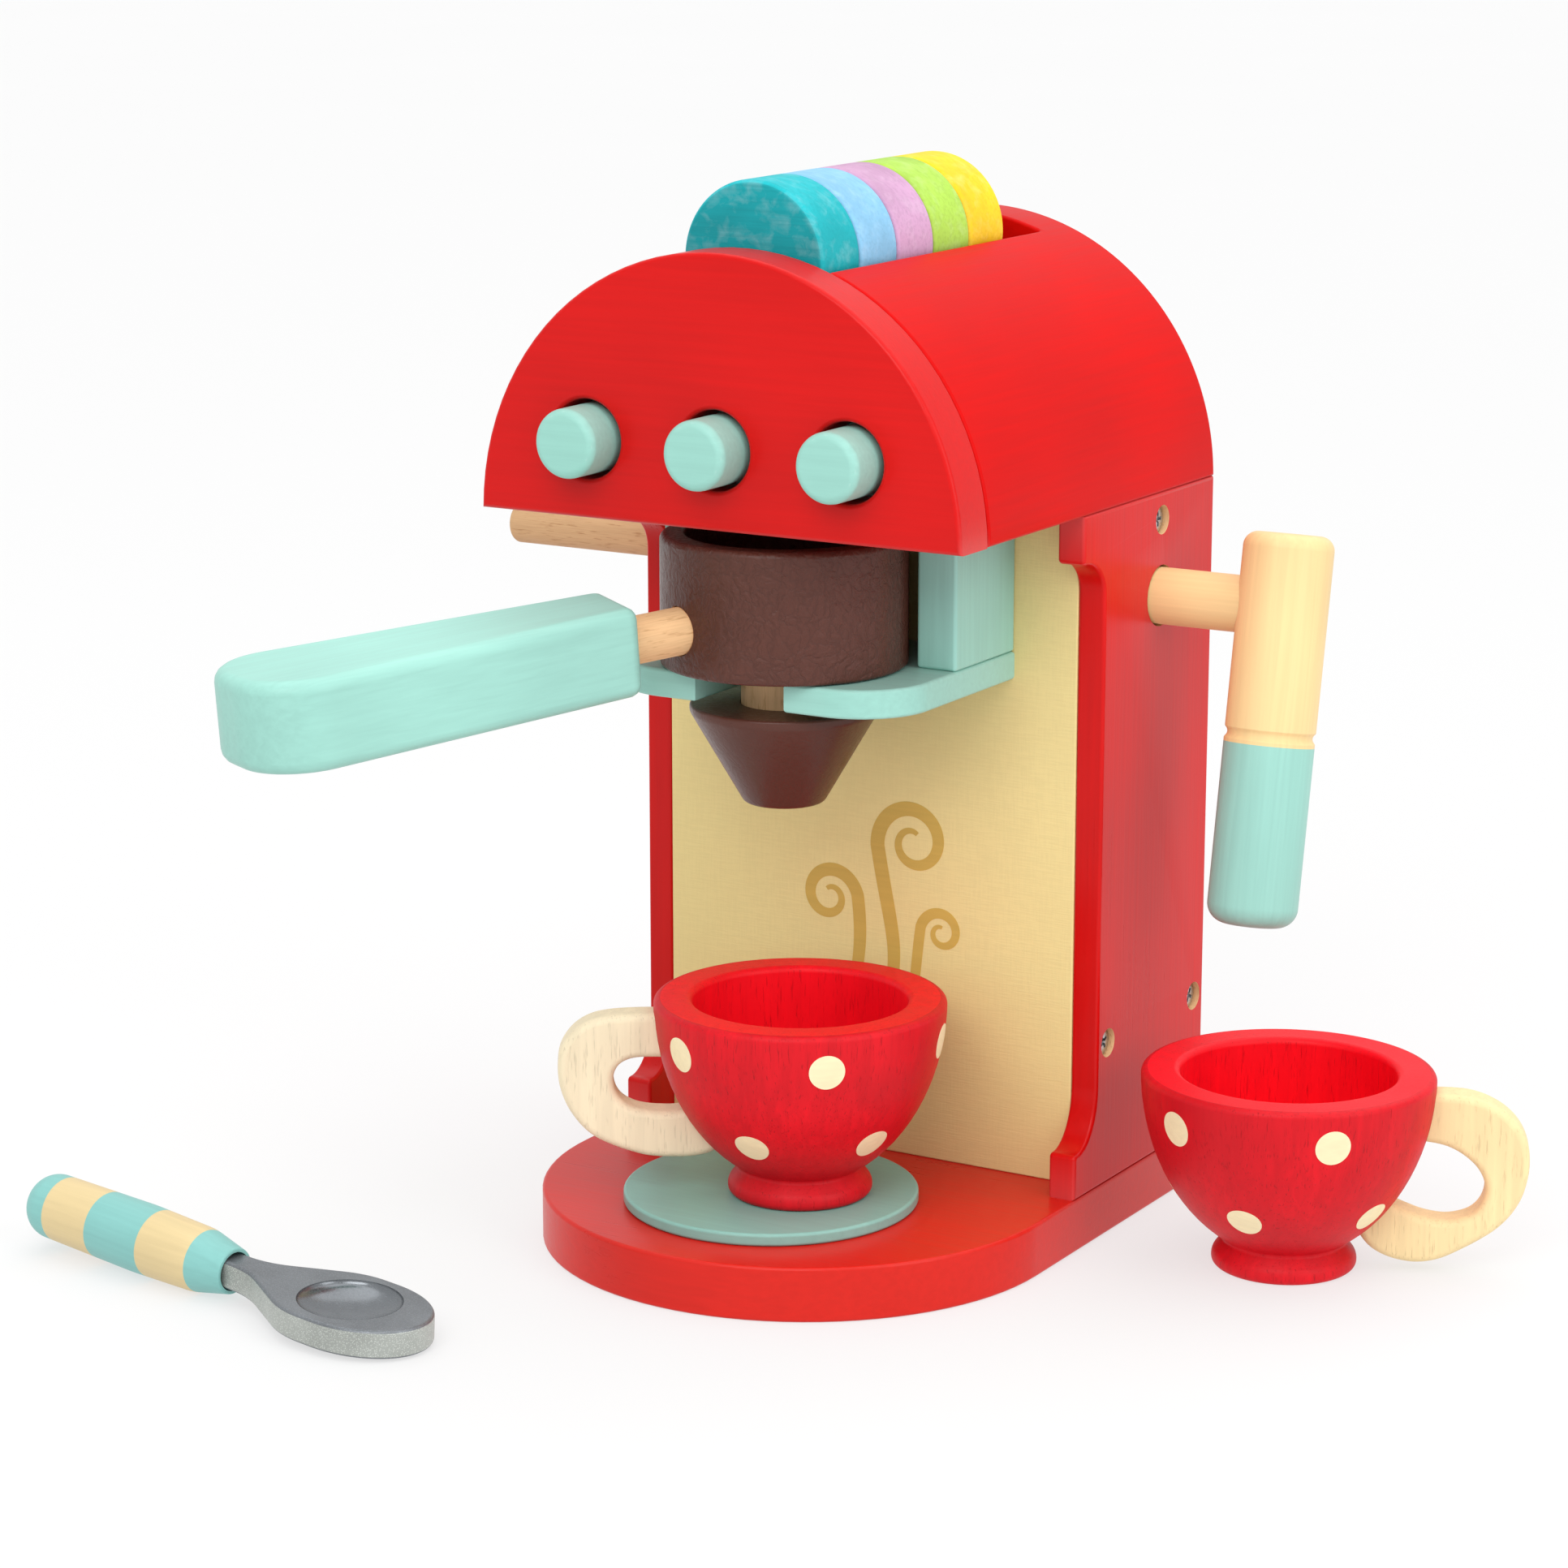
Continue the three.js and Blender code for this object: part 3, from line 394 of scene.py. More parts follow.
def slab(outline, thickness, ease, holes=()):
    """A flat piece of this outline, lying on the XY plane, with rounded edges."""
    curve = bpy.data.curves.new("outline", "CURVE")
    curve.dimensions = "2D"
    curve.fill_mode = "BOTH"
    curve.bevel_depth = ease
    curve.bevel_resolution = EDGE_STEPS
    curve.extrude = thickness / 2 - ease
    curve.offset = -ease
    for points in (outline, *holes):
        spline = curve.splines.new("POLY")
        spline.points.add(len(points) - 1)
        for point, place in zip(spline.points, points):
            point.co = (*place, 0, 1)
        spline.use_cyclic_u = True
    holder = bpy.data.objects.new("outline", curve)
    mesh = made_mesh(holder)
    bpy.data.curves.remove(curve)
    bm = bmesh.new()
    bm.from_mesh(mesh)
    bpy.data.meshes.remove(mesh)
    bmesh.ops.translate(bm, verts=bm.verts, vec=(0, 0, thickness / 2))
    return to_mesh(bm)


def made_mesh(holder, *others):
    """The mesh that an object comes to with its modifiers; the object is then thrown away."""
    scene = bpy.context.scene
    for made in (holder, *others):
        scene.collection.objects.link(made)
    seen = bpy.context.evaluated_depsgraph_get()
    mesh = bpy.data.meshes.new_from_object(holder.evaluated_get(seen))
    for made in (holder, *others):
        bpy.data.objects.remove(made)
    return mesh


def carved(mesh, tools, bare=False):
    """The mesh with every tool cut away; a bare cut shows the second finish, as a drilled hole
    in a painted board shows its wood."""
    holder = bpy.data.objects.new("whole", mesh)
    cutters = []
    for tool in tools:
        if bare:
            for face in tool.polygons:
                face.material_index = 1
        cutter = bpy.data.objects.new("cutter", tool)
        cut = holder.modifiers.new("cut", "BOOLEAN")
        cut.operation = "DIFFERENCE"
        cut.solver = "EXACT"
        cut.object = cutter
        cutters.append(cutter)
    return flattened(made_mesh(holder, *cutters))


def flattened(mesh):
    """Joins faces that lie in one plane, so that a flat side is shaded evenly."""
    bm = bmesh.new()
    bm.from_mesh(mesh)
    bmesh.ops.dissolve_limit(
        bm, angle_limit=LEVEL, verts=bm.verts, edges=bm.edges, delimit={"MATERIAL"})
    bm.to_mesh(mesh)
    bm.free()
    return mesh


def moved(mesh, matrix):
    mesh.transform(matrix)
    return mesh


def shift(x, y, z):
    return Matrix.Translation((x, y, z))


def facing_front(mesh, y):
    return moved(mesh, shift(0, y, 0) @ TO_FRONT)


def block(x0, x1, y0, y1, z0, z1, ease):
    """A board with rounded edges between two corners."""
    corners = [(x, y, ease) for x, y in ((x0, y0), (x1, y0), (x1, y1), (x0, y1))]
    return moved(slab(rounded(corners), z1 - z0, ease), shift(0, 0, z0))


def board_like(node, ease):
    """A board with rounded edges that fills a node's box."""
    low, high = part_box(node)
    return block(low.x, high.x, low.y, high.y, low.z, high.z, ease)


def coil(radius, wire, length, turns):
    """A spring of round wire that stands on the XY plane."""
    curve = bpy.data.curves.new("coil", "CURVE")
    curve.dimensions = "3D"
    curve.bevel_depth = wire
    curve.use_fill_caps = True
    steps = turns * COIL_STEPS
    spline = curve.splines.new("POLY")
    spline.points.add(steps)
    for k, point in enumerate(spline.points):
        angle = TURN * turns * k / steps
        height = wire + (length - 2 * wire) * k / steps
        point.co = (radius * math.cos(angle), radius * math.sin(angle), height, 1)
    mesh = made_mesh(bpy.data.objects.new("coil", curve))
    bpy.data.curves.remove(curve)
    return mesh


def ribbon(points, widths, thickness):
    """A thin flat band on the XY plane along these points."""
    bm = bmesh.new()
    rows = []
    for i, at in enumerate(points):
        along = (points[min(i + 1, len(points) - 1)] - points[max(i - 1, 0)]).normalized()
        side = Vector((-along.y, along.x)) * widths[i] / 2
        left, right = at + side, at - side
        corners = ((left, 0), (right, 0), (right, thickness), (left, thickness))
        rows.append([bm.verts.new((*place, height)) for place, height in corners])
    for row, after in zip(rows, rows[1:]):
        joined(bm, row, after, 4)
    bm.faces.new(rows[0])
    bm.faces.new(rows[-1])
    return to_mesh(bm)


def piece(name, mesh, finishes, body, nodes=(), place=None):
    """Adds a piece: its mesh, its finishes, the body it moves with, and the nodes it stands for."""
    mesh.name = name
    for made in finishes:
        mesh.materials.append(made)
    mesh.shade_smooth()
    mesh.set_sharp_from_angle(angle=SHARP)
    made = bpy.data.objects.new(name, mesh)
    bpy.context.scene.collection.objects.link(made)
    if place is not None:
        made.matrix_world = place
    even = made.modifiers.new("even shading", "WEIGHTED_NORMAL")
    even.keep_sharp = True
    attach(made, body)
    if nodes:
        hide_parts(*nodes)
    return made


def coat(node, finish):
    """Gives a node that stays in view its finish."""
    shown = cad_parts[node]
    if not shown.material_slots:
        shown.data.materials.append(finish)
    for place in shown.material_slots:
        place.material = finish


# Finishes

class Recipe:
    """The nodes of one finish."""

    def __init__(self, name):
        self.material = bpy.data.materials.new(name)
        self.material.use_nodes = True
        self.tree = self.material.node_tree
        self.shader = self.tree.nodes["Principled BSDF"]

    def add(self, kind, inputs, **settings):
        made = self.tree.nodes.new("ShaderNode" + kind)
        for key, value in settings.items():
            setattr(made, key, value)
        for key, value in inputs.items():
            if isinstance(value, bpy.types.NodeSocket):
                self.tree.links.new(value, made.inputs[key])
            elif isinstance(value, tuple) and len(value) == 3 and made.inputs[key].type == "RGBA":
                made.inputs[key].default_value = (*value, 1)
            else:
                made.inputs[key].default_value = value
        return made

    def spot(self, scale):
        """Place on the piece, times a noise scale per metre: one number, or one for each axis."""
        stretch = scale if isinstance(scale, tuple) else (scale,) * 3
        place = self.add("TexCoord", {}).outputs["Object"]
        return self.add("Mapping", {"Vector": place, "Scale": stretch}).outputs["Vector"]

    def noise(self, scale, detail=2, twist=0):
        inputs = {"Vector": self.spot(scale), "Scale": 1, "Detail": detail, "Distortion": twist}
        return self.add("TexNoise", inputs).outputs["Fac"]

    def grain(self, axis, along, across, detail=2, twist=0):
        """Noise drawn out along the axis that the wood's grain follows."""
        scale = tuple(along if axis == letter else across for letter in "XYZ")
        return self.noise(scale, detail, twist)

    def levels(self, value, start, end, low, high):
        inputs = {"Value": value, "From Min": start, "From Max": end, "To Min": low, "To Max": high}
        return self.add("MapRange", inputs).outputs["Result"]

    def mix(self, share, first, second, mode="MIX"):
        inputs = {0: share, 6: first, 7: second}
        made = self.add("Mix", inputs, data_type="RGBA", blend_type=mode, clamp_result=True)
        return made.outputs[2]

    def vary(self, value, start, end, first, second, low=0, high=1):
        """Goes from the first colour to the second as value goes from start to end."""
        return self.mix(self.levels(value, start, end, low, high), first, second)

    def clouds(self, cloud, colour, dark, pale):
        """The colour, darker and paler by these shares in soft clouds."""
        return self.vary(cloud, 0.3, 0.7, shade(colour, dark), shade(colour, pale))

    def sum(self, first, second, share):
        inputs = {0: second, 1: share, 2: first}
        return self.add("Math", inputs, operation="MULTIPLY_ADD").outputs[0]

    def bump(self, height, depth, under=None):
        inputs = {"Height": height, "Distance": depth, "Strength": 1}
        if under is not None:
            inputs["Normal"] = under
        return self.add("Bump", inputs).outputs["Normal"]

    def finish(self, colour, roughness, normal, metallic=0, coat=0, coat_roughness=0.1,
               specular=0.18):
        sockets = self.shader.inputs
        for key, value in (("Base Color", colour), ("Roughness", roughness), ("Normal", normal)):
            self.tree.links.new(value, sockets[key])
        for key, value in (("Metallic", metallic), ("Coat Weight", coat),
                           ("Coat Roughness", coat_roughness), ("Specular IOR Level", specular)):
            sockets[key].default_value = value
        return self.material


def shade(colour, share):
    return tuple(min(1, level * share) for level in colour)


def paler(colour, share):
    return tuple(level + (1 - level) * share for level in colour)


def once(build):
    """Builds a finish by its recipe the first time it is asked for, and then returns the same."""
    def ask(name, *args, **more):
        return bpy.data.materials.get(name) or build(Recipe(name), *args, **more)
    return ask


@once
def painted(recipe, colour, axis, gloss=0.3, coat=0, edge_highlight=0.14, shine=0.18):
    """Brushed paint on wood: the grain shows faintly through, and sharp edges are painted a little
    paler as a painted highlight.
    """
    cloud = recipe.noise(14)
    grain = recipe.grain(axis, 22, 640, 4, 0.4)
    brush = recipe.grain(axis, 60, 1500)
    peel = recipe.noise(1100)
    tone = recipe.clouds(cloud, colour, 0.9, 1.05)
    streak = recipe.levels(grain, 0.3, 0.7, 0.945, 1.03)
    streaks = recipe.add("CombineColor", {0: streak, 1: streak, 2: streak}).outputs[0]
    tone = recipe.mix(1.0, tone, streaks, "MULTIPLY")
    # Painted highlight: edges that stick out are mixed towards a paler colour, standing in for the
    # gloss that light leaves on rounded edges
    edge = recipe.add("NewGeometry", {}).outputs["Pointiness"]
    tone = recipe.vary(edge, 0.53, 0.62, tone, paler(colour, 0.35), high=edge_highlight)
    normal = recipe.bump(recipe.sum(grain, brush, 0.5), mm(0.03))
    normal = recipe.bump(peel, mm(0.0072), normal)
    rough = recipe.levels(recipe.sum(cloud, grain, 0.6), 0.4, 1.2, gloss - 0.06, gloss + 0.1)
    return recipe.finish(tone, rough, normal, coat=coat, coat_roughness=0.18, specular=shine)


@once
def stained(recipe, colour, axis, depth=0.8, pale=1.08, rough=0.55, pore=0.65):
    """Dye on turned wood: darker growth lines and short dark pores along the grain."""
    cloud = recipe.noise(24, 3, 0.6)
    grain = recipe.grain(axis, 16, 380, 4, 0.8)
    pores = recipe.grain(axis, 170, 2300)
    fuzz = recipe.noise(2600)
    tone = recipe.vary(cloud, 0.32, 0.68, shade(colour, depth), shade(colour, pale))
    tone = recipe.vary(grain, 0.3, 0.68, tone, shade(colour, depth * 0.86), high=0.55)
    tone = recipe.vary(pores, 0.6, 0.72, tone, shade(colour, 0.45), high=pore)
    normal = recipe.bump(recipe.levels(pores, 0.6, 0.75, 1, 0), mm(0.06))
    normal = recipe.bump(recipe.sum(fuzz, grain, 0.7), mm(0.02), normal)
    roughness = recipe.levels(recipe.sum(cloud, fuzz, 0.5), 0.3, 1.1, rough - 0.08, rough + 0.1)
    return recipe.finish(tone, roughness, normal, coat=0.06, coat_roughness=0.35)


@once
def washed(recipe, colour, axis):
    """Thin dye on the discs: pale blotches where the wood took less of it."""
    blot = recipe.noise(240, 5, 0.4)
    wide = recipe.noise(38, 2, 0.5)
    grain = recipe.grain(axis, 40, 900, 4, 0.5)
    tone = recipe.vary(wide, 0.35, 0.65, shade(colour, 0.84), shade(colour, 1.06))
    tone = recipe.vary(blot, 0.48, 0.72, tone, paler(colour, 0.24), high=0.36)
    tone = recipe.vary(grain, 0.45, 0.72, tone, shade(colour, 0.68), high=0.4)
    normal = recipe.bump(recipe.sum(grain, blot, 0.4), mm(0.05))
    roughness = recipe.levels(recipe.sum(blot, grain, 0.5), 0.4, 1.1, 0.48, 0.68)
    return recipe.finish(tone, roughness, normal, coat=0.04, coat_roughness=0.4)


@once
def bare_wood(recipe, colour, axis):
    """Plain beech: growth bands and many short brown flecks."""
    bands = recipe.grain(axis, 9, 190, 3, 1.1)
    flecks = recipe.grain(axis, 190, 1500)
    fine = recipe.grain(axis, 90, 3200)
    brown = (colour[0] * 0.58, colour[1] * 0.45, colour[2] * 0.34)
    tone = recipe.vary(bands, 0.3, 0.7, shade(colour, 1.08), shade(colour, 0.8), high=0.6)
    tone = recipe.vary(flecks, 0.58, 0.72, tone, brown, high=0.62)
    tone = recipe.vary(fine, 0.4, 0.7, tone, brown, high=0.22)
    normal = recipe.bump(recipe.sum(flecks, fine, 0.8), mm(0.06))
    roughness = recipe.levels(flecks, 0.3, 0.7, 0.5, 0.66)
    return recipe.finish(tone, roughness, normal)


@once
def crinkled(recipe, colour, wrinkle):
    """Thick brown paint that dried in fine wrinkles, with painted shade in their creases and a
    painted highlight on their crests.
    """
    twist = recipe.add("TexNoise", {"Vector": recipe.spot(120), "Scale": 1, "Detail": 3})
    pushed = {0: twist.outputs["Color"], 1: (3.2, 3.2, 3.2), 2: recipe.spot((330, 330, 230))}
    place = recipe.add("VectorMath", pushed, operation="MULTIPLY_ADD").outputs[0]
    cells = recipe.add("TexVoronoi", {"Vector": place, "Scale": 1}, feature="DISTANCE_TO_EDGE")
    cells = cells.outputs["Distance"]
    folds = recipe.add("TexNoise", {"Vector": place, "Scale": 2.2, "Detail": 4, "Distortion": 1.4})
    folds = folds.outputs["Fac"]
    peel = recipe.noise(1300)
    cloud = recipe.noise(30)
    tone = recipe.clouds(cloud, colour, 0.88, 1.1)
    # Painted shade: darker along the cells' edges, where the wrinkles' creases lie
    tone = recipe.vary(cells, 0, 0.1, tone, shade(colour, 0.6), low=0.35 * wrinkle, high=0)
    # Painted highlight: paler on the folds' crests
    tone = recipe.vary(folds, 0.55, 0.75, tone, shade(colour, 1.6), high=0.35 * wrinkle)
    height = recipe.sum(recipe.levels(cells, 0, 0.3, 0, 0.6), folds, 1.1)
    normal = recipe.bump(height, mm(0.32) * wrinkle)
    normal = recipe.bump(peel, mm(0.02), normal)
    roughness = recipe.levels(folds, 0.3, 0.7, 0.27, 0.4)
    return recipe.finish(tone, roughness, normal, coat=0.15, coat_roughness=0.22)


@once
def rolled(recipe, colour):
    """Satin paint laid with a roller: a fine cloth-like tooth."""
    warp = recipe.noise((180, 180, 2600))
    weft = recipe.noise((2600, 180, 180))
    cloud = recipe.noise(11, 3)
    weave = recipe.sum(warp, weft, 0.75)
    tone = recipe.clouds(cloud, colour, 0.93, 1.03)
    tone = recipe.vary(weave, 0.75, 1.0, tone, shade(colour, 0.86), high=0.3)
    normal = recipe.bump(weave, mm(0.07))
    roughness = recipe.levels(weave, 0.7, 1.05, 0.5, 0.62)
    return recipe.finish(tone, roughness, normal)


@once
def metal(recipe, colour, rough, flake=0.0, metallic=1.0):
    """Bright metal with fine scratches, or metallic paint with sparkling flakes."""
    scratch = recipe.noise((400, 4200, 1200), 3)
    flakes = recipe.spot(2400)
    sparkle = recipe.add("TexVoronoi", {"Vector": flakes, "Scale": 1}).outputs["Distance"]
    cloud = recipe.noise(60, 3)
    tone = recipe.clouds(cloud, colour, 0.82, 1.1)
    tone = recipe.vary(sparkle, 0.1, 0.45, tone, shade(colour, 1.9), low=flake, high=0)
    normal = recipe.bump(recipe.sum(scratch, sparkle, 0.5), mm(0.015))
    roughness = recipe.levels(scratch, 0.3, 0.7, rough - 0.07, rough + 0.1)
    return recipe.finish(tone, roughness, normal, metallic=metallic)


def colour_of(name):
    return getattr(bpy.context.scene.toy_paints, name)[:]


def red_paint(axis):
    return painted("red_paint_" + axis, colour_of("red"), axis, coat=0.05)


def mint_paint(axis):
    return painted("mint_paint_" + axis, colour_of("mint"), axis, gloss=0.42, coat=0.08)


def beech(axis):
    return bare_wood("bare_wood_" + axis, colour_of("beech"), axis)


# Places that several pieces share

def middle(node):
    """Middle of a node's box, in X, Y and Z."""
    return tuple((low + high) / 2 for low, high in zip(*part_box(node)))


def side_screws():
    """Middles of the screws in the right side panel, in Y and Z."""
    return [middle("right_screw_%d" % number)[1:] for number in (1, 2, 3)]


def base_screws():
    """Middles of the screws in the base board, in X and Y, by the name of each screw's node."""
    nodes = ["base_screw_%d" % number for number in (1, 2, 3, 4)]
    return {node: middle(node)[:2] for node in nodes}


# Operators, one for each group of pieces

class TOY_OT_body(bpy.types.Operator):
    """Build the base board, the plate, the side panels and the boards between them"""

    bl_idname = "toy.body"
    bl_label = "Base, sides and boards"

    WALL_EDGE = mm(0.5)
    PLATE_EDGE = mm(0.9)
    BASE_BORE = mm(3)  # how far the holes in the base go past a screw's head
    SIDE_BORE = mm(2.1)  # and in the side panels

    def execute(self, context):
        sizes = context.scene.toy_body
        self.base(sizes)
        self.panels(sizes, context.scene.toy_lever)
        for name, node, edge, finish, slot in (
            ("cream_back_wall", "front_board", self.WALL_EDGE,
             rolled("rolled_cream", colour_of("board")), "cream_board"),
            ("rear_cross_board", "back_board", sizes.board_edge, red_paint("X"), "red_paint"),
        ):
            piece(name, board_like(node, edge), [finish], "machine", [node])
        coat("top_board", beech("X"))
        return {"FINISHED"}

    def base(self, sizes):
        low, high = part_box("base_board")
        radius = high.x
        front = arc(0, low.y + radius, radius, radius, -math.pi, 0)
        outline = [(high.x, high.y), (low.x, high.y), *front]
        board = slab(outline, high.z - low.z, sizes.board_edge)
        depth = sizes.screw_sink + self.BASE_BORE
        bores = [moved(bar(sizes.screw_recess, -depth, depth), shift(x, y, 0))
                 for x, y in base_screws().values()]
        board = carved(board, bores, bare=True)
        # Painted sheen: the base's tint carries the studio's reflection in its colour
        red = painted("base_red", colour_of("base_red"), "X", coat=0.05)
        piece("round_front_base", board, [red, beech("X")], "machine",
              ["base_board"])
        low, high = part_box("plate")
        radius = (high.x - low.x) / 2
        plate = bar(radius, low.z, high.z, self.PLATE_EDGE)
        # Painted shade: the plate's mint is darker for the shadow of the hood and the cup
        mint = painted("plate_mint", colour_of("plate_mint"), "X", gloss=0.36, coat=0.08)
        piece("serving_plate", moved(plate, shift(0, middle("plate")[1], 0)), [mint],
              "machine", ["plate"])

    def panels(self, sizes, lever):
        low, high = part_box("right_side_panel")
        lip, quarter = sizes.cove_lip, TURN / 4
        front, reach = low.y + lip, sizes.ear_reach - lip
        ear, foot = high.z - sizes.ear_height, low.z + sizes.foot_height
        outline = [
            (high.y, low.z), (high.y, high.z), (low.y, high.z),
            *arc(front, ear + lip, lip, lip, 2 * quarter, 3 * quarter),
            *arc(front, ear - sizes.upper_cove, reach, sizes.upper_cove, quarter, 0),
            *arc(front, foot + sizes.lower_cove, reach, sizes.lower_cove, 0, -quarter),
            *arc(front, foot - lip, lip, lip, quarter, 2 * quarter),
            (low.y, low.z),
        ]
        _, lever_y, lever_z = middle("lever_collar")
        holes = {1: (lever.axle_hole, lever_z),
                 -1: (lever.peg_radius + SLIDING_GAP, high.z - lever.peg_drop)}
        depth = sizes.screw_sink + self.SIDE_BORE
        for side, name in ((1, "right"), (-1, "left")):
            start = high.x - sizes.side_thickness if side > 0 else -high.x
            panel = slab(outline, sizes.side_thickness, sizes.board_edge)
            panel = moved(panel, shift(start, 0, 0) @ ACROSS_X)
            face = side * high.x
            bores = [moved(bar(sizes.screw_recess, -depth, depth), shift(face, y, z) @ ALONG_X)
                     for y, z in side_screws()]
            radius, z = holes[side]
            bores.append(moved(bar(radius, -DRILL, DRILL), shift(face, lever_y, z) @ ALONG_X))
            panel = carved(panel, bores, bare=True)
            finishes = [red_paint("Z"), beech("Z")]
            piece(name + "_cheek", panel, finishes, "machine", [name + "_side_panel"])


class TOY_OT_print(bpy.types.Operator):
    """Print the steam curls on the cream board"""

    bl_idname = "toy.print"
    bl_label = "Steam print"

    # In millimetres and degrees: the foot and its aim, and the reach of the stem's bends; the
    # scroll's eye, radius, start and turns; and the greatest width
    CURLS = (
        ((3, 46), 72, 30, (14.5, 105), 11.5, 190, -1.35, 4.4),
        ((-1.5, 46), 104, 22, (-12, 86.5), 9.0, 8, 1.3, 4.0),
        ((10, 46), 66, 14, (23.5, 80.5), 6.6, 172, -1.25, 3.2),
    )
    STEPS = 110  # points along a stem, and as many along its scroll
    INK = mm(0.12)  # thickness of the print, a third of which lies in the board
    # Shares of a scroll's radius that is gone at its end, of the swell that a curl has behind it
    # at its foot, and of the greatest width that is left at its tip
    CLOSING_SHARE = 0.76
    FOOT_SHARE = 0.16
    THIN_SHARE = 0.3
    # Powers that make the closing, the swell and the width even to the eye
    CLOSING_PACE = 0.9
    SWELL_PACE = 1.15
    FULLNESS = 0.8

    def execute(self, context):
        paint = painted("steam_print", colour_of("print"), "X", gloss=0.5, edge_highlight=0)
        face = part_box("front_board")[0].y
        for number, curl in enumerate(self.CURLS, 1):
            mesh = facing_front(ribbon(*self.curl(*curl), self.INK), face + self.INK / 3)
            piece("steam_curl_%d" % number, mesh, [paint], "machine")
        return {"FINISHED"}

    def curl(self, foot, aim, reach, eye, radius, start, turns, widest):
        """Middle line and widths of a stem that ends in a scroll; turns below zero go clockwise."""
        start, aim = math.radians(start), math.radians(aim)
        shares = [k / self.STEPS for k in range(self.STEPS + 1)]
        scroll = []
        for share in shares:
            spin = start + TURN * turns * share
            away = mm(radius) * (1 - self.CLOSING_SHARE * share ** self.CLOSING_PACE)
            across, up = away * math.cos(spin), away * math.sin(spin)
            scroll.append(Vector((mm(eye[0]) + across, mm(eye[1]) + up)))
        sense = math.copysign(mm(reach), turns)
        root = Vector((mm(foot[0]), mm(foot[1])))
        stem = (root, root + mm(reach) * Vector((math.cos(aim), math.sin(aim))),
                scroll[0] - sense * Vector((-math.sin(start), math.cos(start))), scroll[0])
        points = []
        for t in shares[:-1]:
            weights = ((1 - t) ** 3, 3 * t * (1 - t) ** 2, 3 * t * t * (1 - t), t ** 3)
            pulls = (place * weight for place, weight in zip(stem, weights))
            points.append(sum(pulls, Vector((0, 0))))
        points += scroll
        gone = [0.0]
        for place, after in zip(points, points[1:]):
            gone.append(gone[-1] + (after - place).length)
        widths = []
        for distance in gone:
            share = self.FOOT_SHARE + (1 - self.FOOT_SHARE) * distance / gone[-1]
            swell = max(0, math.sin(math.pi * min(1, share ** self.SWELL_PACE)))
            fullness = self.THIN_SHARE + (1 - self.THIN_SHARE) * swell ** self.FULLNESS
            widths.append(mm(widest) * fullness)
        return points, widths


class TOY_OT_screws(bpy.types.Operator):
    """Put the cross-head screws in the side panels and the base"""

    bl_idname = "toy.screws"
    bl_label = "Screws"

    HEAD_FACETS = 64
    CROSS_FACETS = 48
    SPIN = math.radians(31)  # from the cross of one screw to the next
    CROWN_SHARE = 0.7  # of the head's radius, where its top starts to slope

    def execute(self, context):
        sizes = context.scene.toy_body
        screw = carved(self.screw(sizes), self.cross(sizes))
        zinc = metal("zinc_plate", colour_of("zinc"), 0.3)
        places = {}
        for side, name in ((1, "right"), (-1, "left")):
            face = side * (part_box("right_side_panel")[1].x - sizes.screw_sink)
            toward = ALONG_X if side > 0 else ALONG_X.inverted()
            for number, (y, z) in enumerate(side_screws(), 1):
                spin = Matrix.Rotation(self.SPIN * number, 4, "Z")
                places["%s_screw_%d" % (name, number)] = shift(face, y, z) @ toward @ spin
        for node, (x, y) in base_screws().items():
            places[node] = shift(x, y, sizes.screw_sink) @ Matrix.Rotation(math.pi, 4, "X")
        for name, place in places.items():
            piece("zinc_" + name, screw.copy(), [zinc], "machine", [name], place)
        return {"FINISHED"}

    def screw(self, sizes):
        """A screw that points down, with the top of its head at Z = 0."""
        radius, crown = sizes.screw_head, sizes.screw_head * self.CROWN_SHARE
        shank, length, point, head, rim, dome = (mm(v) for v in (1.7, 26, 4, 2, 0.5, 0.25))
        rim_edge, crown_edge = mm(0.2), mm(2)
        return turned([
            (0, -length), (shank, point - length), (shank, -head), (radius, -rim),
            (radius, -dome, rim_edge), (crown, -dome / 4, crown_edge), (0, 0),
        ], around=self.HEAD_FACETS)

    def cross(self, sizes):
        """Tools for the two slots in a screw's head and the wider place where they cross."""
        arm, half = sizes.cross_length / 2, sizes.cross_width / 2
        depth, edge, flare = mm(1.3), mm(0.1), mm(1.05)
        centre = [(0, -depth), (half, -depth), (half + flare, depth), (0, depth)]
        return [block(-arm, arm, -half, half, -depth, depth, edge),
                block(-half, half, -arm, arm, -depth, depth, edge),
                turned(centre, around=self.CROSS_FACETS)]


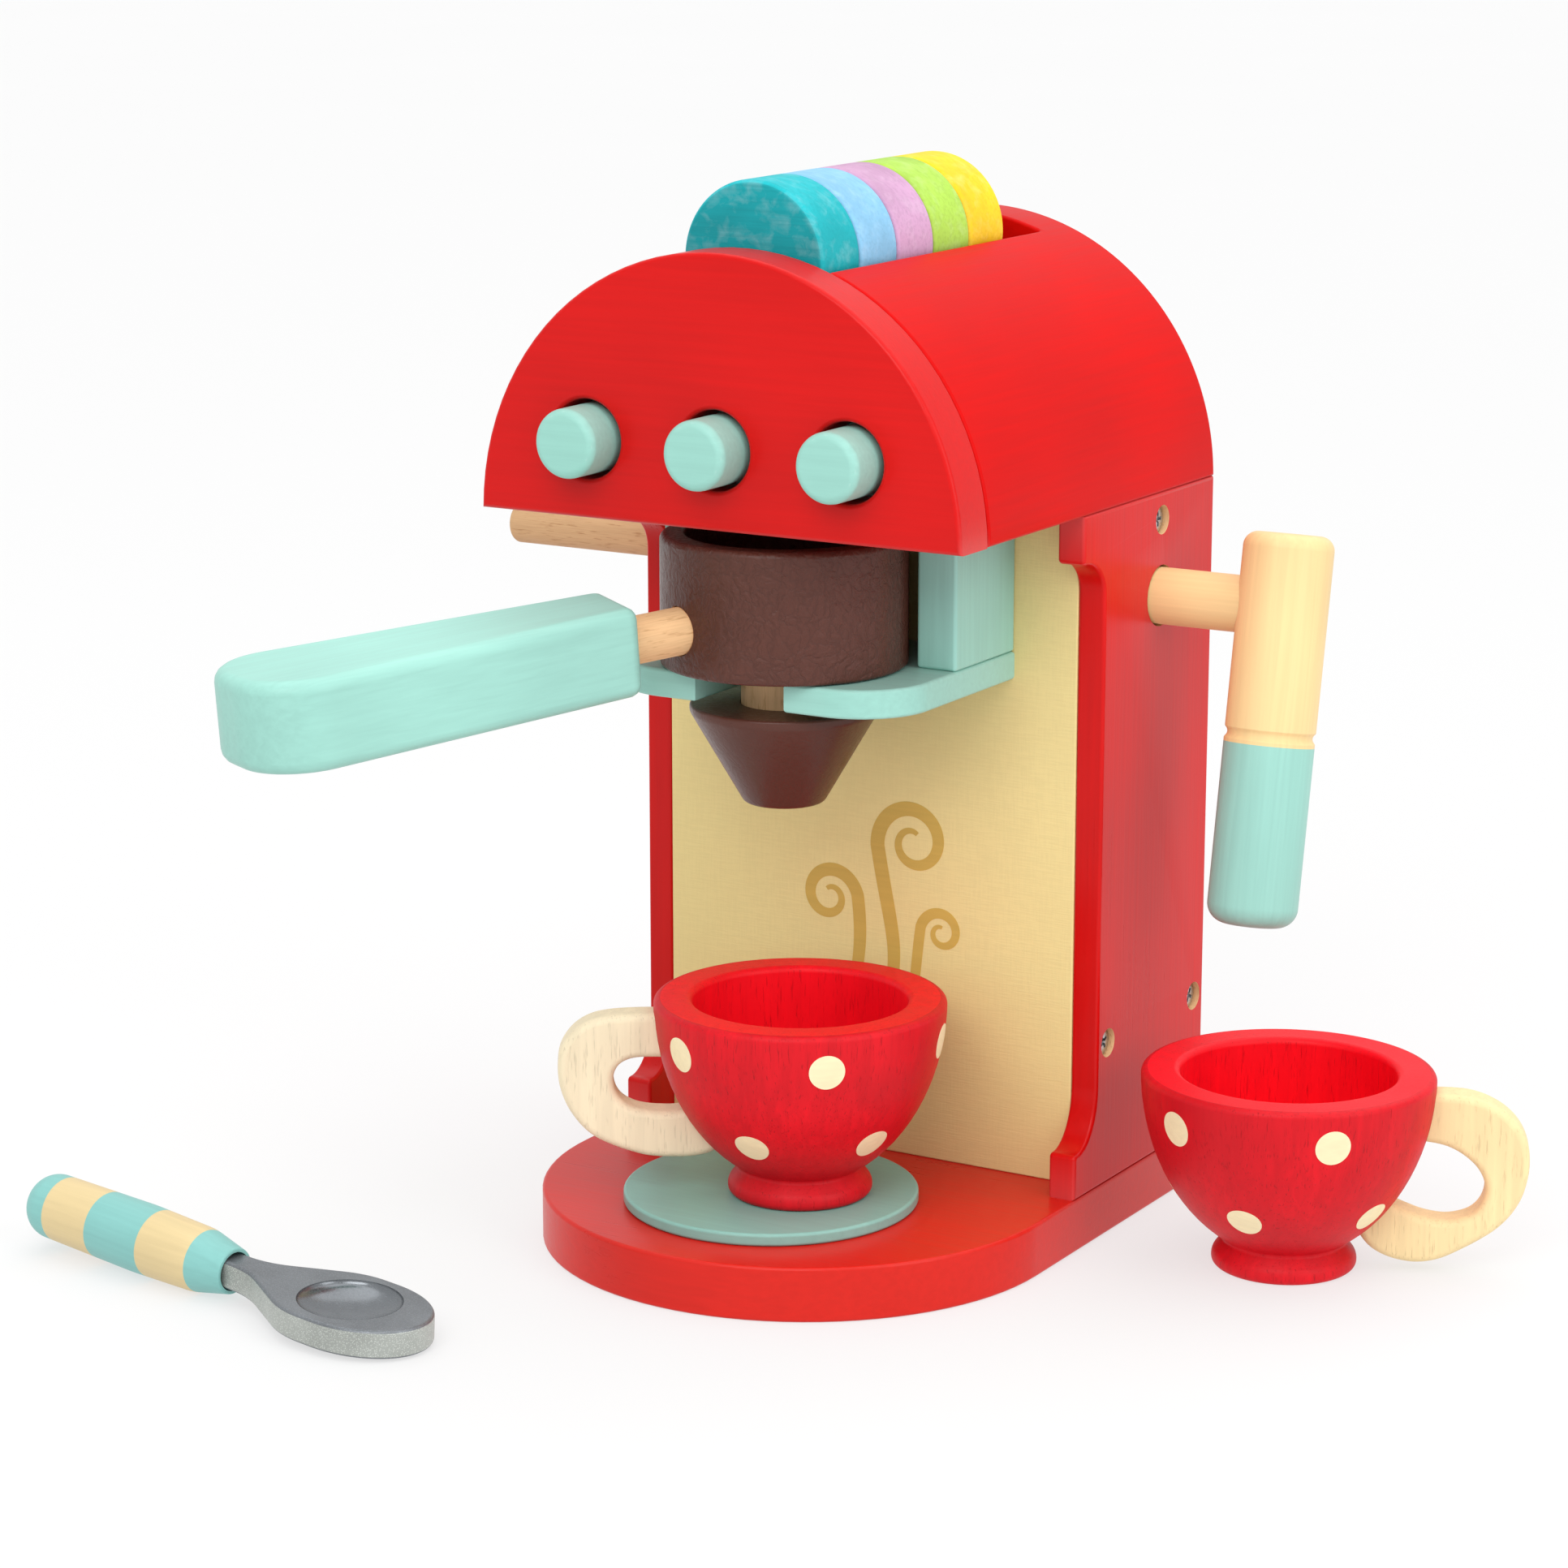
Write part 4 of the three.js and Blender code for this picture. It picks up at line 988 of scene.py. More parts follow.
class TOY_OT_hood(bpy.types.Operator):
    """Build the hood: its front panel, its curved shell with the slot, and what lies inside"""

    bl_idname = "toy.hood"
    bl_label = "Hood"

    # Up to the first angle from the crown the shell's thickness is taken straight down, so that
    # the slot's walls stand upright, and past the second it points at the curve's centre
    UPRIGHT = math.radians(26)
    LEANING = math.radians(60)

    def execute(self, context):
        sizes = context.scene.toy_hood
        low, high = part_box("hood_front_panel")
        radius = math.hypot(high.x, sizes.centre_drop)
        centre = low.z - sizes.centre_drop
        self.front(sizes, low, high, radius, centre)
        self.shell(sizes, radius, centre, context.scene.toy_body.board_edge)
        red = red_paint("X")
        for node in ("hood_back_panel", "hood_floor", "tray_left_wall", "tray_right_wall",
                     "tray_stop"):
            coat(node, red)
        coat("tray_floor", beech("Y"))
        return {"FINISHED"}

    def front(self, sizes, low, high, radius, centre):
        start = math.asin(sizes.centre_drop / radius)
        outline = arc(0, centre, radius, radius, start, math.pi - start)
        rise = low.z + sizes.button_rise
        holes = [arc(x, rise, sizes.button_hole, sizes.button_hole, TURN, 0)[1:]
                 for x in (-sizes.button_spacing, 0, sizes.button_spacing)]
        panel = facing_front(slab(outline, high.y - low.y, sizes.panel_edge, holes), high.y)
        piece("arched_front", panel, [red_paint("X")], "machine", ["hood_front_panel"])

    def shell(self, sizes, radius, centre, ease):
        """The shell is laid out flat, with its slot, and then bent to its curve."""
        low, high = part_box("hood_shell")
        slot_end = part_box("tray_stop")[0].y
        start = math.asin(sizes.centre_drop / radius)
        edge = radius * (math.pi / 2 - start)
        slot = radius * math.asin(sizes.slot_half_width / radius)
        corner = sizes.slot_corner
        outline = rounded([
            (-edge, low.y), (-slot, low.y), (-slot, slot_end, corner), (slot, slot_end, corner),
            (slot, low.y), (edge, low.y), (edge, high.y), (-edge, high.y),
        ])
        thickness = sizes.shell_thickness
        flat = slab(outline, thickness, ease)
        bm = bmesh.new()
        bm.from_mesh(flat)
        bpy.data.meshes.remove(flat)
        steps = math.ceil(math.pi / ARC_STEP) * 2
        for k in range(1, steps):
            whole = bm.verts[:] + bm.edges[:] + bm.faces[:]
            place = (-edge + 2 * edge * k / steps, 0, 0)
            bmesh.ops.bisect_plane(bm, geom=whole, dist=WELD, plane_co=place, plane_no=(1, 0, 0))
        for v in bm.verts:
            across, along, depth = v.co
            angle = across / radius
            at = radius - thickness + depth
            straight = radius * math.sin(angle)
            lean = min(1, max(0, (abs(angle) - self.UPRIGHT) / (self.LEANING - self.UPRIGHT)))
            x = straight + (at * math.sin(angle) - straight) * lean * lean * (3 - 2 * lean)
            v.co = (x, along, centre + math.sqrt(max(0, at * at - x * x)))
        shell = to_mesh(bm)
        red = painted("shell_red", colour_of("red"), "Y", gloss=0.36, shine=0.06)
        piece("curved_shell", shell, [red], "machine", ["hood_shell"])


class TOY_OT_buttons(bpy.types.Operator):
    """Build the three sprung buttons"""

    bl_idname = "toy.buttons"
    bl_label = "Buttons"

    TURNS = 5  # of a spring

    def execute(self, context):
        sizes = context.scene.toy_hood
        flange, flange_radius, stem, stem_length = (mm(v) for v in (3, 12, 3.5, 28))
        for name in ("left", "middle", "right"):
            node = name + "_button"
            low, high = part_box(node)
            cap = high.y - low.y - stem_length - flange
            button = turned([
                (0, -flange - stem_length), (stem, -flange - stem_length), (stem, -flange),
                (flange_radius, -flange), (flange_radius, 0), (sizes.button_radius, 0),
                (sizes.button_radius, cap, sizes.button_edge), (0, cap),
            ])
            x, _, z = middle(node)
            piece(name + "_push_button", button, [mint_paint("X")], "button_" + name,
                  [node], shift(x, low.y + cap, z) @ TO_FRONT)
            self.spring(sizes, name, node + "_spring")
        coat("button_guide", beech("X"))
        return {"FINISHED"}

    def spring(self, sizes, name, node):
        """A spring behind a button, with a mesh of its own."""
        low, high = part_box(node)
        length, wire = high.y - low.y, sizes.spring_wire
        x, _, z = middle(node)
        wound = coil((high.x - low.x) / 2 - wire, wire, length, self.TURNS)
        steel = metal("spring_wire", colour_of("spring"), 0.32)
        made = piece(name + "_coil", wound, [steel], "machine", [node],
                     shift(x, high.y, z) @ TO_FRONT)
        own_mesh(made)


class TOY_OT_discs(bpy.types.Operator):
    """Build the five stained discs"""

    bl_idname = "toy.discs"
    bl_label = "Discs"

    NAMES = ("teal", "sky", "lilac", "green", "yellow")
    APART = 0.1  # from one disc to the next in the wood, so that no two have the same blotches
    ROUND_SHADE = 1.12  # how much brighter than its tint a disc is on its round side, a painted highlight
    ENDS_PAINTED_SHADE = 0.84  # and darker on its ends, a painted shade
    FLAT = 0.9  # a face whose normal is nearer than this to the disc's axis is one of its ends

    def execute(self, context):
        sizes = context.scene.toy_hood
        for number, name in enumerate(self.NAMES):
            low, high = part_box(name + "_disc")
            radius = (high.z - low.z) / 2
            disc = bar(radius, 0, high.y - low.y, sizes.disc_edge)
            x, _, z = middle(name + "_disc")
            apart = shift(self.APART * number, 0, 0)
            # Lit and shaded copies of each dye: painted light on the round side, painted shade on
            # the ends
            lit_and_shaded_dyes = [washed(name + end, shade(colour_of(name), share), "X")
                    for end, share in (("_wash", self.ROUND_SHADE), ("_face", self.ENDS_PAINTED_SHADE))]
            for face in disc.polygons:
                face.material_index = int(abs(face.normal.z) > self.FLAT)
            piece(name + "_round", moved(disc, apart), lit_and_shaded_dyes, "disc_" + name,
                  [name + "_disc"], shift(x, high.y, z) @ TO_FRONT @ apart.inverted())
        return {"FINISHED"}


class TOY_OT_fork(bpy.types.Operator):
    """Build the fork that carries the filter, and its two spacer blocks"""

    bl_idname = "toy.fork"
    bl_label = "Fork"

    def execute(self, context):
        sizes = context.scene.toy_filter
        edge = context.scene.toy_body.board_edge
        low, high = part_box("fork")
        slot = sizes.fork_slot
        slot_end = middle("filter_neck")[1] + sizes.neck_radius + GAP - slot
        outline = [
            *rounded([
                (-slot, low.y), (low.x, low.y, sizes.fork_corner), (low.x, high.y),
                (high.x, high.y), (high.x, low.y, sizes.fork_corner), (slot, low.y)]),
            *arc(0, slot_end, slot, slot, 0, math.pi),
        ]
        fork = moved(slab(outline, high.z - low.z, edge), shift(0, 0, low.z))
        piece("filter_fork", fork, [mint_paint("X")], "machine", ["fork"])
        for side in ("left", "right"):
            node = side + "_spacer_block"
            piece(side + "_hanger", board_like(node, edge), [mint_paint("Z")],
                  "machine", [node])
        return {"FINISHED"}


class TOY_OT_filter(bpy.types.Operator):
    """Build the filter: cup, neck, cone and the handle"""

    bl_idname = "toy.filter"
    bl_label = "Filter"

    ROD_SUNK = mm(7)  # how far the handle's rod goes into the cup
    ROD_HELD = mm(20)  # and into the grip
    ROD_EDGE = mm(0.8)
    NECK_EDGE = mm(0.5)

    def execute(self, context):
        sizes = context.scene.toy_filter
        low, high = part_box("filter_cup")
        radius = (high.x - low.x) / 2
        axis = shift(0, middle("filter_neck")[1], 0)
        line = axis @ shift(0, 0, low.z + sizes.handle_rise)
        line = line @ Matrix.Rotation(sizes.handle_turn, 4, "Z")
        line = line @ Matrix.Rotation(sizes.handle_droop, 4, "Y")
        wood = beech("Z")
        brown, even = (crinkled(name, colour_of("brown"), wrinkle)
                       for name, wrinkle in (("brown_crinkle", 1.0), ("brown_even", 0.15)))

        foot = axis @ shift(0, 0, low.z)
        hole = bar(sizes.dowel_radius + GAP, radius - self.ROD_SUNK, radius + DRILL)
        hole = moved(hole, foot.inverted() @ line @ ALONG_X)
        cup = carved(self.cup(sizes, radius, high.z - low.z), [hole], bare=True)
        piece("brown_filter_cup", cup, [brown, wood], "filter", ["filter_cup"], foot)

        low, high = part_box("filter_neck")
        neck = bar(sizes.neck_radius, low.z, high.z, self.NECK_EDGE)
        piece("bare_neck", neck, [wood], "filter_carriage", ["filter_neck"], axis)
        piece("brown_cone", self.cone(sizes, low.z - GAP), [even], "filter",
              ["filter_cone"], axis)

        held = sizes.grip_start + self.ROD_HELD
        rod = bar(sizes.dowel_radius, radius - self.ROD_SUNK + GAP, held, self.ROD_EDGE)
        piece("handle_rod", rod, [wood], "filter", ["handle_dowel"], line @ ALONG_X)
        piece("mint_grip", self.grip(sizes, held), [mint_paint("X"), beech("X")], "filter",
              ["handle_grip"], line)
        return {"FINISHED"}

    def cup(self, sizes, radius, height):
        """A shallow recess above, and a socket for the neck below."""
        neck_held, recess, recess_depth = mm(6), mm(26), mm(14)
        foot_edge, mouth_edge, floor_edge = mm(1), mm(1), mm(2)
        socket, roof = sizes.neck_radius + GAP, neck_held + GAP
        floor = height - recess_depth
        return turned([
            (0, roof), (socket, roof), (socket, 0),
            (radius, 0, foot_edge), (radius, height, sizes.cup_edge),
            (recess, height, mouth_edge), (recess, floor, floor_edge), (0, floor),
        ])

    def cone(self, sizes, shut):
        """The cone, with a socket that ends just under the neck."""
        low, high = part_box("filter_cone")
        socket, band = sizes.neck_radius + GAP, mm(2)
        foot_edge, shoulder_edge, top_edge = mm(2.2), mm(3), mm(0.8)
        return turned([
            (0, low.z), (sizes.cone_bottom, low.z, foot_edge),
            (sizes.cone_top, high.z - band, shoulder_edge), (sizes.cone_top, high.z, top_edge),
            (socket, high.z), (socket, shut), (0, shut),
        ])

    def grip(self, sizes, held):
        """The flat grip along X, bored for the rod."""
        start, end = sizes.grip_start, sizes.grip_start + sizes.grip_length
        outline = rounded([
            (start - sizes.grip_slant, -sizes.grip_inner, sizes.grip_corner),
            (end, -sizes.grip_outer, sizes.grip_end),
            (end, sizes.grip_outer, sizes.grip_end),
            (start, sizes.grip_inner, sizes.grip_corner),
        ])
        grip = slab(outline, sizes.grip_thickness, sizes.grip_edge)
        grip = moved(grip, shift(0, 0, -sizes.grip_thickness / 2))
        bore = bar(sizes.dowel_radius + GAP, start - 2 * sizes.grip_slant, held + GAP)
        return carved(grip, [moved(bore, ALONG_X)], bare=True)


class TOY_OT_lever(bpy.types.Operator):
    """Build the lever with its axle, and the peg on the left"""

    bl_idname = "toy.lever"
    bl_label = "Lever and peg"

    AXLE_HELD = mm(6)  # how far the axle goes past the handle's middle
    AXLE_EDGE = mm(0.8)
    PEG_EDGE = mm(1.4)
    PEG_PAINTED_SHADE = 0.74  # the peg's beech is darkened, a painted shade on the machine's left side

    def execute(self, context):
        sizes = context.scene.toy_lever
        _, y, z = middle("lever_collar")
        hang = shift(0, y, z) @ Matrix.Rotation(sizes.lever_turn, 4, "X")
        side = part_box("right_side_panel")[1].x
        inner = side - context.scene.toy_body.side_thickness
        reach = side + sizes.axle_reach
        held = reach + self.AXLE_HELD
        axle = bar(sizes.axle_radius, inner - sizes.axle_inside, held, self.AXLE_EDGE)
        cream = painted("cream_paint_Z", colour_of("cream"), "Z", gloss=0.44, coat=0.08)
        piece("cream_axle", axle, [cream], "lever", ["lever_axle"], hang @ ALONG_X)
        socket = bar(sizes.axle_radius + SLIDING_GAP, side - reach, self.AXLE_HELD + GAP)
        handle = carved(self.handle(sizes), [moved(socket, ALONG_X)])
        piece("two_tone_handle", handle, [mint_paint("Z"), cream], "lever",
              ["lever_handle"], hang @ shift(reach, 0, 0))
        coat("lever_collar", beech("X"))

        low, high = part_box("side_peg")
        peg = bar(sizes.peg_radius, low.x, high.x, self.PEG_EDGE)
        place = shift(0, *middle("side_peg")[1:]) @ ALONG_X
        # Painted shade: the peg gets a darker copy of the bare beech
        wood = bare_wood("peg_wood", shade(colour_of("beech"), self.PEG_PAINTED_SHADE), "Z")
        piece("bare_peg", peg, [wood], "machine", ["side_peg"], place)
        return {"FINISHED"}

    def handle(self, sizes):
        """The grooved handle, cream above its paint line and mint below it."""
        radius, above = sizes.handle_radius, sizes.handle_above
        bottom = above - sizes.handle_length
        groove = above - sizes.groove_from_top
        lower = groove - sizes.groove_width
        bottom_edge, groove_edge, top_edge = mm(5.5), mm(0.4), mm(4)
        return turned([
            (0, bottom), (radius, bottom, bottom_edge), (radius, lower, groove_edge),
            (radius - sizes.groove_depth, (groove + lower) / 2, sizes.groove_width / 2),
            (radius, groove, groove_edge), (radius, above, top_edge), (0, above),
        ], bands=[above - sizes.paint_line])


class TOY_OT_cups(bpy.types.Operator):
    """Build the two spotted cups"""

    bl_idname = "toy.cups"
    bl_label = "Cups"

    # Places on the outline of each handle and of its hole, in millimetres: the distance from the
    # cup's axis, and the height
    HANDLES = {
        1: ((19, 19), (20.4, 14.8), (23.9, 12.3), (28, 11.2), (33, 10.9), (40.9, 11.4),
            (47.3, 13.2), (52, 15.1), (55.3, 16.9), (58.4, 19.5), (61.2, 23.1), (63.2, 26.9),
            (64.6, 31.5), (65, 36.5), (64.4, 40.8), (62.6, 44.4), (59.8, 47.4), (55.8, 49.6),
            (51.1, 50.6), (45.1, 51), (38, 51), (30, 50.5), (22, 47), (19, 32)),
        2: ((18.6, 16), (19.6, 11), (22.2, 7.3), (25.8, 4.9), (30.3, 3.4), (35.6, 2.9),
            (41.2, 4), (46.7, 6.7), (52.3, 10.1), (56.4, 13.2), (59.7, 16.8), (62.2, 21),
            (63.6, 25.4), (64.3, 30.6), (63.8, 36.4), (61.6, 41.4), (58.2, 45.2), (54.1, 47.8),
            (49.8, 49.4), (45.2, 50.1), (38, 50.1), (30, 49.4), (22, 46), (18.8, 31)),
    }
    HOLES = {
        1: ((26, 38), (32, 38.7), (37.4, 38.9), (43.1, 38.9), (46.4, 38.2), (48.8, 36.6),
            (50.1, 33.8), (49.8, 30.2), (48.1, 27.3), (45.1, 25.3), (41.6, 24.3), (37.6, 23.9),
            (33, 24), (27.5, 25.6), (24, 29), (23.6, 34)),
        2: ((26, 36), (31, 36.9), (36.9, 36.7), (42.5, 35.6), (47.3, 33), (51.1, 29.2),
            (52.8, 24.8), (52, 20.4), (49, 16.9), (43.6, 15.2), (38.1, 15.6), (33.2, 17.1),
            (28, 19.6), (24.2, 24), (23.2, 31)),
    }
    TURNS = {1: 213, 2: 24}  # which way each cup's handle points, in degrees
    # Headings of the dots in the upper and in the lower ring of each cup, in degrees
    DOTS = {
        1: ((32.7, 98, 164, 229.5, 295), (62, 127.5, 193, 258)),
        2: ((20, 87, 154, 221, 288), (48, 115, 182, 249, 320)),
    }
    DOT_RINGS = 4
    DOT_AROUND = 40
    DOT_LAYERS = (mm(0.1), mm(-0.25))  # outside and inside of a dot, from the bowl's surface
    RIM_EDGE = mm(1.8)
    CUP_GAP = mm(0.03)  # between a handle and its cup

    def execute(self, context):
        sizes = context.scene.toy_cups
        red = stained("cup_stain", colour_of("cup_red"), "Z", depth=0.82, pale=1.1, rough=0.5)
        # Painted light: the inside and the rim get a brighter copy of the cup's stain
        inside = stained("well_stain", colour_of("cup_well"), "Z", depth=0.86, pale=1.02, rough=0.5)
        spots = painted("dot_paint", colour_of("dots"), "X", gloss=0.45, coat=0.05)
        profile = self.outside(sizes)
        mouth, well = sizes.mouth_radius, sizes.height - sizes.well_depth
        for number, ear_name in ((1, "pale_ear"), (2, "warm_ear")):
            body = "cup_%d" % number
            node = body + "_body"
            place = shift(*middle(node)[:2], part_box(node)[0].z)
            place = place @ Matrix.Rotation(math.radians(self.TURNS[number]), 4, "Z")
            cup = turned([*profile, (mouth, sizes.height, self.RIM_EDGE),
                          (mouth, well, sizes.well_round), (0, well)])
            # Faces of the well and the rim take the brighter stain, their painted light
            for face in cup.polygons:
                outward = face.normal.xy.dot(face.center.xy)
                face.material_index = int(face.center.z > well - self.RIM_EDGE and outward < WELD)
            ear = stained(ear_name, colour_of(ear_name), "Z", depth=0.93, pale=1.03, pore=0.35)
            for name, mesh, finishes, slot, nodes in (
                ("turned_cup_%d", cup, [red, inside], "red_stain", [node]),
                ("cup_ear_%d", self.handle(sizes, number), [ear], "cream_stain",
                 [body + "_handle"]),
                ("cup_dots_%d", self.dots(sizes, self.DOTS[number]), [spots], "cream_stain", ()),
            ):
                piece(name % number, mesh, finishes, body, nodes, place)
        return {"FINISHED"}

    def outside(self, sizes, grow=0):
        """Outside of a cup as a profile; grow widens it."""
        start = -math.asin((sizes.height - sizes.waist_height) / sizes.bowl_depth)
        bowl = arc(grow, sizes.height, sizes.rim_radius, sizes.bowl_depth, start, 0)
        rim = (*bowl[-1], 0 if grow else self.RIM_EDGE)
        foot = sizes.foot_radius + grow
        neck = sizes.neck_radius + grow
        sole_edge, foot_edge, neck_edge = mm(2), mm(4), mm(1)
        return [(0, 0), (foot, 0, sole_edge), (foot, sizes.foot_height, foot_edge),
                (neck, sizes.neck_height, neck_edge), *bowl[:-1], rim]

    def handle(self, sizes, number):
        outline, hole = (smooth(places[number]) for places in (self.HANDLES, self.HOLES))
        half = sizes.handle_thickness / 2
        ear = facing_front(slab(outline, 2 * half, sizes.handle_edge, [hole]), half)
        core = turned([*self.outside(sizes, self.CUP_GAP), (0, sizes.height)])
        return carved(ear, [core])

    def dots(self, sizes, headings):
        """Thin round coats of paint that follow the bowl's curve."""
        around = self.DOT_AROUND

        def bowl_radius(z):
            depth = (sizes.height - z) / sizes.bowl_depth
            return sizes.rim_radius * math.sqrt(max(0, 1 - depth ** 2))

        def dot_row(share, lift, heading, height):
            """Points of one ring of a dot; a share of 0 is its middle."""
            radius, step = bowl_radius(height), mm(1)
            steep = math.atan2(step, radius - bowl_radius(height - step))
            reach = sizes.dot_radius * share
            row = []
            for k in range(around if share else 1):
                angle = TURN * k / around
                z = height + reach * math.sin(angle) * math.sin(steep)
                away = bowl_radius(z) + lift
                aim = heading + reach * math.cos(angle) / radius
                row.append(bm.verts.new((away * math.cos(aim), away * math.sin(aim), z)))
            return row

        bm = bmesh.new()
        for ring, height in zip(headings, (sizes.upper_dots, sizes.lower_dots)):
            for heading in ring:
                edges = []
                for lift in self.DOT_LAYERS:
                    rows = [dot_row(k / self.DOT_RINGS, lift, math.radians(heading), height)
                            for k in range(self.DOT_RINGS + 1)]
                    for inner, outer in zip(rows, rows[1:]):
                        joined(bm, inner, outer, around)
                    edges.append(rows[-1])
                joined(bm, *edges, around)
        return to_mesh(bm)


class TOY_OT_spoon(bpy.types.Operator):
    """Build the spoon with its striped handle"""

    bl_idname = "toy.spoon"
    bl_label = "Spoon"

    PLACE = (mm(-175), mm(-128.5))  # of the handle's end on the table
    LIFT = mm(0.55)  # so that the shoulder clears the table
    STRIPES = (10.4, 27.1, 46.6, 64.3)  # millimetres from the handle's end to each new colour
    THICKEST_SHARE = 0.55  # of the handle's length from its end to its thickest place
    SHOULDER_SHARE = 0.84  # and to its shoulder
    SOCKET = mm(12)  # how far the blade goes into the handle
    UPRIGHT = 0.5  # a face whose normal rises less than this belongs to the blade's edge
    BALL_STEPS = 48

    def execute(self, context):
        sizes = context.scene.toy_spoon
        belly = sizes.belly_radius
        thickest = sizes.handle_length * self.THICKEST_SHARE
        end = sizes.handle_length + sizes.blade_shown
        tilt = math.asin((belly - sizes.blade_thickness / 2) / (end - thickest))
        place = shift(*self.PLACE, belly + thickest * math.sin(tilt) + self.LIFT)
        place = place @ Matrix.Rotation(sizes.lie, 4, "Z") @ Matrix.Rotation(tilt, 4, "Y")
        stripes = [painted(name, colour_of(name), "Z", gloss=gloss, coat=0.08)
                   for name, gloss in (("spoon_mint", 0.42), ("spoon_cream", 0.44))]
        piece("striped_spoon_handle", self.handle(sizes, thickest), stripes, "spoon",
              ["spoon_handle"], place @ ALONG_X)
        silver = colour_of("silver")
        finishes = [metal("silver_flakes", silver, 0.36, flake=0.5, metallic=0.55),
                    metal("silver_hollow", silver, 0.2, flake=0.3, metallic=0.7),
                    metal("silver_edge", colour_of("silver_edge"), 0.4, flake=0.7, metallic=0.4)]
        piece("silver_spoon_blade", self.blade(sizes, end), finishes, "spoon",
              ["spoon_blade"], place)
        return {"FINISHED"}

    def handle(self, sizes, thickest):
        """The turned handle, with a socket for the blade."""
        length, butt = sizes.handle_length, sizes.butt_radius
        bore, floor = mm(5.3), length - self.SOCKET
        butt_edge, belly_curve, shoulder_curve, collar_edge = (mm(v) for v in (7.4, 75, 18.8, 0.6))
        return turned([
            (0, 0), (butt, 0, butt_edge), (sizes.belly_radius, thickest, belly_curve),
            (butt, length * self.SHOULDER_SHARE, shoulder_curve),
            (sizes.collar_radius, length, collar_edge),
            (bore, length), (bore, floor), (0, floor),
        ], bands=[mm(v) for v in self.STRIPES])

    def blade(self, sizes, end):
        """A flat blade with a hollow; its edge has a finish of its own."""
        start = sizes.handle_length - self.SOCKET + GAP
        neck, half, bend, ease = mm(3.9), sizes.bowl_half_width, mm(26), mm(1.1)
        tip, straight, spread = mm(23), mm(11), mm(24)
        hollow_half_length, hollow_half_width, hollow_place = mm(14.2), mm(13.4), mm(24.9)
        widest = end - tip
        shoulder = widest - straight
        flare = shoulder - spread
        far = rounded([(widest, half), (shoulder, half, bend), (flare, neck, bend),
                       (start, neck)], closed=False)
        near = [(x, -y) for x, y in reversed(far)]
        nose = arc(widest, 0, tip, half, -math.pi / 2, math.pi / 2)[1:-1]
        thickness = sizes.blade_thickness
        blade = moved(slab([*near, *nose, *far], thickness, ease), shift(0, 0, -thickness / 2))
        for face in blade.polygons:
            face.material_index = 2 * int(abs(face.normal.z) < self.UPRIGHT)
        angles = [math.pi * (k / self.BALL_STEPS - 0.5) for k in range(self.BALL_STEPS + 1)]
        ball = turned([(math.cos(a), math.sin(a)) for a in angles])
        scale = Matrix.Diagonal((hollow_half_length, hollow_half_width, sizes.hollow_depth, 1))
        hollow = moved(ball, shift(end - hollow_place, 0, thickness / 2) @ scale)
        return carved(blade, [hollow], bare=True)


